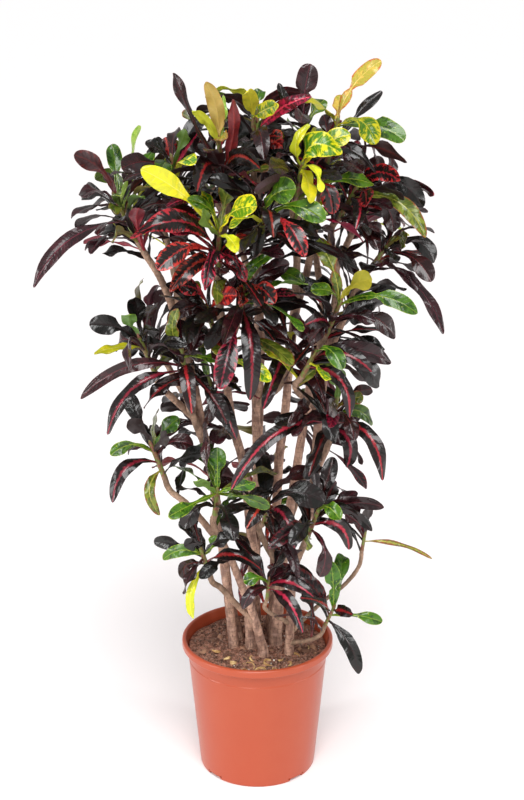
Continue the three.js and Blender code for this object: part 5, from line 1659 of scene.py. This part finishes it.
chances = drawer(CHANCE_SEED)
for leaf in canopy.leaves:
    leaf.chance = chances()
    leaf.glow = mix(GLOW_LOW, 1.0, smooth(*GLOW_HEIGHTS, leaf.root[2])) * mix(0.4, 1.0, chances())
    if leaf.seen:
        leaf.glow = mix(GLOW_BY_HAND, 1.0, leaf.chance)
leafy_pieces = []
for shoot in shoots:
    cuts = (0.0, TIP_SPLIT, 1.0) if shoot.tip else (0.0, 1.0)
    for at, (low, high) in enumerate(zip(cuts, cuts[1:])):
        leafy_pieces.append(dress_node(shoot, at, low, high))

# %% [markdown]
# ## Leaf finishes
#
# Every tone is one row of colours and widths. Its six colours are those of the blade, the patches
# between its veins, the midrib, the fine side veins, the edge and the underside. The pattern is drawn
# in millimetres on the leaf's own length and width, so that a rib is as wide on a short leaf as on a
# long one. Side veins leave the midrib at a slant, and clouds of noise bend them and break the edges.

# %% Paint the leaves
TONES = {
    "maroon": dict(colours="#210e10 #351518 #5e2129 #2e1316 #351417 #33171b"),
    "black": dict(colours="#0e0f0c #18100f #2a1315 #150f0f #120d0c #271617"),
    "redrib": dict(colours="#12110e #1d0f10 #a8262f #2e1114 #2f1113 #351719", rib_width=3.2, feather=0.8),
    "rededge": dict(colours="#1b0e10 #141310 #9c222b #4a1319 #b0282d #3c121a",
                    edge_width=3.4, rib_width=2.2, feather=1.5, streaks=0.3),
    "crimson": dict(colours="#ad1b29 #4d0f19 #e23c42 #c42a34 #5e111c #741c2c",
                    rib_width=2.2, patches=0.75, feather=1.2, streaks=0.2),
    "green": dict(colours="#426914 #23420e #87992f #557c20 #889b2c #597330",
                  edge_width=0.8, feather=1.4, veins=0.3, speck="#a9b234", specks=0.3),
    "variegated": dict(colours="#d9cf1d #4f7f16 #e0d646 #c9c62a #dccf26 #cfc838",
                       patches=0.7, edge_width=2.0, feather=1.4, veins=0.4, speck="#37660f", specks=0.5),
    "yellow": dict(colours="#dcd420 #c2c425 #dcd85a #bcc22b #a9b52c #b9b936",
                   stalk="#9fb32e", veins=0.45, patches=0.5, speck="#b4c22a", specks=0.3),
    "gold": dict(colours="#cfa94d #a69a3a #d8b962 #c29a4c #b0602c #b0904a",
                 edge_width=2.0, patches=0.7, feather=1.2, veins=0.4, streaks=0.2, speck="#8a5a2c",
                 specks=0.35),
    "lime": dict(colours="#9fbd47 #83a836 #c6d678 #aec556 #b3c856 #9ab552", veins=0.3),
    "olive": dict(colours="#78822a #4c5a1a #b0a848 #868a34 #8a4a26 #837c40",
                  edge_width=1.6, patches=0.6, feather=1.2, veins=0.3, streaks=0.2),
}
VEIN_STEP = 6.5
VEIN_SLANT = 0.62
VEIN_SWAY = 9.0


def leaf_finish(name, colours, rib_width=1.0, edge_width=0.5, patches=0.4, veins=0.35, feather=0.6,
                streaks=0.1, stalk=None, speck=None, specks=0.0):
    """One tone. Feather frays the rib and the edge, and streaks let the side veins reach into them."""
    blade, patch, rib, vein, edge, under = colours.split()
    pot = PaintPot(f"leaf_{name}")
    at, over, half = pot.attribute("blade")
    length, chance, below = pot.attribute("leaf")
    glow = pot.attribute("glow")[0]
    hand = pot.sum("SIGN", over)
    reach = pot.sum("ABSOLUTE", over) * half
    slanted = at * length - reach * VEIN_SLANT
    own_place = chance * 31.0 + hand * 0.35

    def leaf_grain(pace_along, pace_across, *character):
        return pot.grain(pot.join(slanted * pace_along, reach * pace_across, own_place), 1.0, *character)

    clouds = leaf_grain(0.085, 0.06, 3.0, 0.6)
    fraying = (leaf_grain(0.26, 0.09) - 0.5) * (3.2 * feather)
    phase = slanted * (2 * math.pi / VEIN_STEP) + hand * 1.1
    waves = pot.sum("COSINE", phase + clouds * VEIN_SWAY)
    low = 0.56 - 0.26 * patches
    body = pot.blend(pot.ramp(clouds, low, low + 0.12), blade, patch)
    body = pot.blend(pot.ramp(waves, 0.8, 1.0) * veins, body, vein)
    if speck:
        low = 0.72 - 0.22 * specks
        body = pot.blend(pot.ramp(leaf_grain(0.34, 0.3), low, low + 0.07), body, speck)
    edge_share = (half - reach) / edge_width - fraying * 1.2 - waves * streaks
    broken = pot.ramp(pot.sum("FRACT", clouds * 5.0), 0.05, 0.4)
    body = pot.blend((1.0 - pot.ramp(edge_share, 0.5, 1.4)) * broken * glow, body, edge)
    rib_half = pot.sum("MINIMUM", (1.15 - at * 0.8) * rib_width, half * 0.45)
    rib_share = reach / rib_half + fraying - waves * (0.6 * streaks)
    ribbing = (1.0 - pot.ramp(rib_share, 0.35, 1.4)) * glow
    body = pot.blend(ribbing * (pot.ramp(clouds, 0.3, 0.6) * 0.5 + 0.5), body, rib)
    body = pot.blend((1.0 - pot.ramp(at, 0.04, 0.16)) * glow, body, stalk or rib)
    body = pot.blend(below * 0.8, body, under)
    fine = pot.grain(pot.place(), 900.0, 2.0, 0.6)
    hue = pot.sum("FRACT", chance * 3.1) * 0.024 + 0.488
    value = (chance * 0.6 + 0.66) * (fine * 0.24 + 0.88)
    relief = pot.bump(waves * pot.ramp(reach, 0.8, 3.0), 0.12, 0.0005)
    return pot.finish(
        Base_Color=pot.tint(body, hue, value), Roughness=fine * 0.14 + 0.15 + below * 0.25,
        Normal=pot.bump(clouds, 0.45, 0.002, relief),
        Specular_IOR_Level=0.42, Coat_Weight=0.12, Coat_Roughness=0.1)


def sprout_finish():
    pot = PaintPot("young_stem")
    place = pot.place()
    clouds = pot.grain(place, 160.0, 3.0, 0.6)
    return pot.finish(
        Base_Color=pot.blend(pot.ramp(clouds, 0.4, 0.62), "#6d7c34", "#7c4a3a"),
        Roughness=clouds * 0.2 + 0.38, Normal=pot.bump(pot.grain(place, 700.0), 0.3, 0.0004))


finishes = {name: leaf_finish(name, **row) for name, row in TONES.items()}
finishes["sprout"] = sprout_finish()
for piece in leafy_pieces:
    for tone in piece["tones"]:
        piece.data.materials.append(finishes[tone])
    del piece["tones"]
print("leaf finishes:", ", ".join(finishes))

# %% [markdown]
# ## Bark, soil and plastic
#
# Bark is a pinkish tan with brown mottling, dark in the rings between its scars, pale on the scars and
# greener where it is young. The soil is brown peat with pale crumbs in it; chips are muted brown wood,
# specks are white grit and dry leaves are straw yellow. The pot is satin terracotta plastic with faint
# paler clouds, and its inside is darkened by painted shade.

# %% Paint the rest
def bark_finish():
    pot = PaintPot("croton_bark")
    along, scar, thick = pot.attribute("bark")
    place = pot.place()
    mottle = pot.grain(pot.stretch(place, (1.0, 1.0, 0.45)), 95.0, 4.0, 0.6)
    fine = pot.grain(pot.stretch(place, (1.0, 1.0, 0.3)), 420.0, 3.0, 0.6)
    rings = pot.sum("COSINE", along * (2 * math.pi / SCAR_STEP) + mottle * 9.0)
    body = pot.blend(pot.ramp(mottle, 0.38, 0.64), "#846354", "#c8a089")
    body = pot.blend(pot.ramp(fine, 0.52, 0.72), body, "#61493e")
    body = pot.blend(pot.ramp(rings, 0.7, 1.0) * 0.35, body, "#513c34")
    body = pot.blend(scar * 0.5, body, "#cba898")
    body = pot.blend((1.0 - pot.ramp(thick, 0.42, 0.62)) * 0.5, body, "#6b5c42")
    return pot.finish(Base_Color=body, Roughness=mottle * 0.25 + 0.62,
                      Normal=pot.bump(mottle, 0.4, 0.002, pot.bump(fine, 0.6, 0.0012)))


def soil_finish():
    pot = PaintPot("peat")
    place = pot.place()
    clods = pot.grain(place, 130.0, 4.0, 0.65)
    fine = pot.grain(place, 620.0, 4.0, 0.7)
    body = pot.blend(pot.ramp(clods, 0.38, 0.62), "#593a2e", "#ac7a65")
    return pot.finish(Base_Color=pot.blend(pot.ramp(fine, 0.54, 0.68), body, "#dcb09c"),
                      Roughness=fine * 0.25 + 0.75, Normal=pot.bump(fine, 0.9, 0.002),
                      Specular_IOR_Level=0.25)


def crumb_finish(name, dark, light, roughness):
    """Grains that differ from one to the next by their own chance."""
    pot = PaintPot(name)
    chance = pot.attribute("chance")[0]
    streaks = pot.grain(pot.stretch(pot.place(), (1.0, 3.0, 1.0)), 260.0, 3.0, 0.6)
    body = pot.blend(pot.ramp(chance * 0.7 + streaks * 0.5, 0.2, 1.0), dark, light)
    return pot.finish(Base_Color=body, Roughness=streaks * 0.2 + (roughness - 0.1),
                      Normal=pot.bump(streaks, 0.5, 0.001))


def dry_leaf_finish():
    pot = PaintPot("dry_leaf")
    place = pot.place()
    streaks = pot.grain(pot.stretch(place, (1.0, 1.0, 2.5)), 190.0, 3.0, 0.6)
    body = pot.blend(pot.ramp(streaks, 0.4, 0.65), "#c99f63", "#e9cd94")
    return pot.finish(Base_Color=pot.blend(pot.ramp(pot.grain(place, 60.0), 0.5, 0.7), body, "#b07f4a"),
                      Roughness=streaks * 0.3 + 0.5, Normal=pot.bump(streaks, 0.5, 0.001))


def pot_finish():
    pot = PaintPot("terracotta_plastic")
    place = pot.place()
    x, y, z = pot.parts(place)
    clouds = pot.grain(place, 26.0, 4.0, 0.6)
    scuffs = pot.grain(pot.stretch(place, (1.0, 1.0, 6.0)), 45.0, 5.0, 0.7)
    body = pot.blend(pot.ramp(z, 0.0, POT_HEIGHT * MM), "#ab482a", "#aa492b")
    body = pot.blend(pot.ramp(clouds, 0.4, 0.7) * 0.15, body, "#b05637")
    # Painted shade: all that lies inside the wall, meaning the inner wall and the pot's floor, is blended a
    # little towards a darker red.
    away = pot.sum("SQRT", x * x + y * y)
    wall = z * ((BODY_TOP_RADIUS - FOOT_RADIUS) / POT_HEIGHT) + (FOOT_RADIUS - 0.6 * WALL) * MM
    body = pot.blend(pot.sum("LESS_THAN", away, wall) * 0.2, body, "#7a3222")
    return pot.finish(Base_Color=body, Roughness=scuffs * 0.14 + 0.24,
                      Normal=pot.bump(pot.grain(place, 1500.0, 2.0), 0.12, 0.0003))


def wear(finish, *pieces):
    for piece in pieces:
        piece.data.materials.clear()
        piece.data.materials.append(finish)


wear(bark_finish(), *bark_pieces)
wear(soil_finish(), soil)
wear(crumb_finish("bark_chip", "#603f30", "#b88a6c", 0.7), chips)
wear(crumb_finish("peat_crumb", "#523b30", "#a98270", 0.85), crumbs)
wear(crumb_finish("white_grit", "#b9b2a6", "#e8e4da", 0.7), specks)
wear(dry_leaf_finish(), dry_leaves)
wear(pot_finish(), pot)
print("finishes:", len(bpy.data.materials))

# %% [markdown]
# ## The studio
#
# The plant stands on a wide pale floor that runs on past the top of the picture. Two tall soft boxes
# stand at its sides and leave the long pale streaks on the pot, a broad one stands in front, and a
# wide soft sun comes from above. The world around is nearly white. The camera looks slightly down, as
# in the photograph.

# %% Lay the floor and hang the lights
FLOOR_HALF = 60.0
CROWN = (0, 0, 0.75)
SUN_HEIGHT = (34, 4)
SUN_SPREAD = 34


def lay_floor():
    floor = add(bpy.ops.mesh.primitive_plane_add, size=2 * FLOOR_HALF, location=(0, 0, 0))
    floor.name = "studio_floor"
    settle(floor)
    paper = PaintPot("studio_paper").finish(Base_Color="#fdf9f9", Roughness=0.9, Specular_IOR_Level=0.1)
    wear(paper, floor)


def hang_light(name, place, target, size, power):
    """A soft box at a place in metres that faces a target, with its width and height."""
    light = add(bpy.ops.object.light_add, type="AREA", location=place)
    light.name = name
    light.data.shape = "RECTANGLE"
    light.data.size, light.data.size_y = size
    light.data.energy = power
    light.rotation_euler = (Vector(place) - Vector(target)).to_track_quat("Z", "Y").to_euler()


lay_floor()
hang_light("left_box", (-2.4, -0.9, 1.0), CROWN, (0.35, 2.2), 30)
hang_light("right_box", (2.4, -0.9, 1.0), CROWN, (0.35, 2.2), 20)
hang_light("front_box", (-0.9, -3.4, 1.1), (0, 0, 0.4), (1.2, 1.2), 32)
lean, turn = (math.radians(angle) for angle in SUN_HEIGHT)
sun = add(bpy.ops.object.light_add, type="SUN", rotation=(lean, turn, 0))
sun.data.energy = 2.2
sun.data.angle = math.radians(SUN_SPREAD)
world = bpy.data.worlds.new("studio_air")
world.use_nodes = True
air = world.node_tree.nodes["Background"]
air.inputs["Color"].default_value = (1.0, 0.985, 0.985, 1.0)
air.inputs["Strength"].default_value = 0.5
scene = bpy.context.scene
scene.world = world
scene.view_settings.view_transform = "Standard"

# %% [markdown]
# The camera was found from the pot: its rim is 240 mm across and its mouth is seen from above. The
# picture is 524 pixels wide and 800 high.

# %% Set the camera
PICTURE_HEIGHT = 800
FOCAL_PIXELS = 1499
SENSOR = 36
CAMERA_PLACE = (0.0072, -2.15, 1.33)
CAMERA_PITCH = 18.39

tilt = math.radians(90 - CAMERA_PITCH)
camera = add(bpy.ops.object.camera_add, location=CAMERA_PLACE, rotation=(tilt, 0, 0))
camera.data.sensor_width = SENSOR
camera.data.lens = FOCAL_PIXELS * SENSOR / PICTURE_HEIGHT
camera.data.clip_end = 4 * FLOOR_HALF
scene.camera = camera
print("lens in mm:", round(camera.data.lens, 1))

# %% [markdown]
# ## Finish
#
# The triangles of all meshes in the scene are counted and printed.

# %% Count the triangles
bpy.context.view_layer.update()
meshes = [thing.data for thing in scene.objects if thing.type == "MESH"]
print("triangles:", sum(len(mesh.loops) - 2 * len(mesh.polygons) for mesh in meshes))
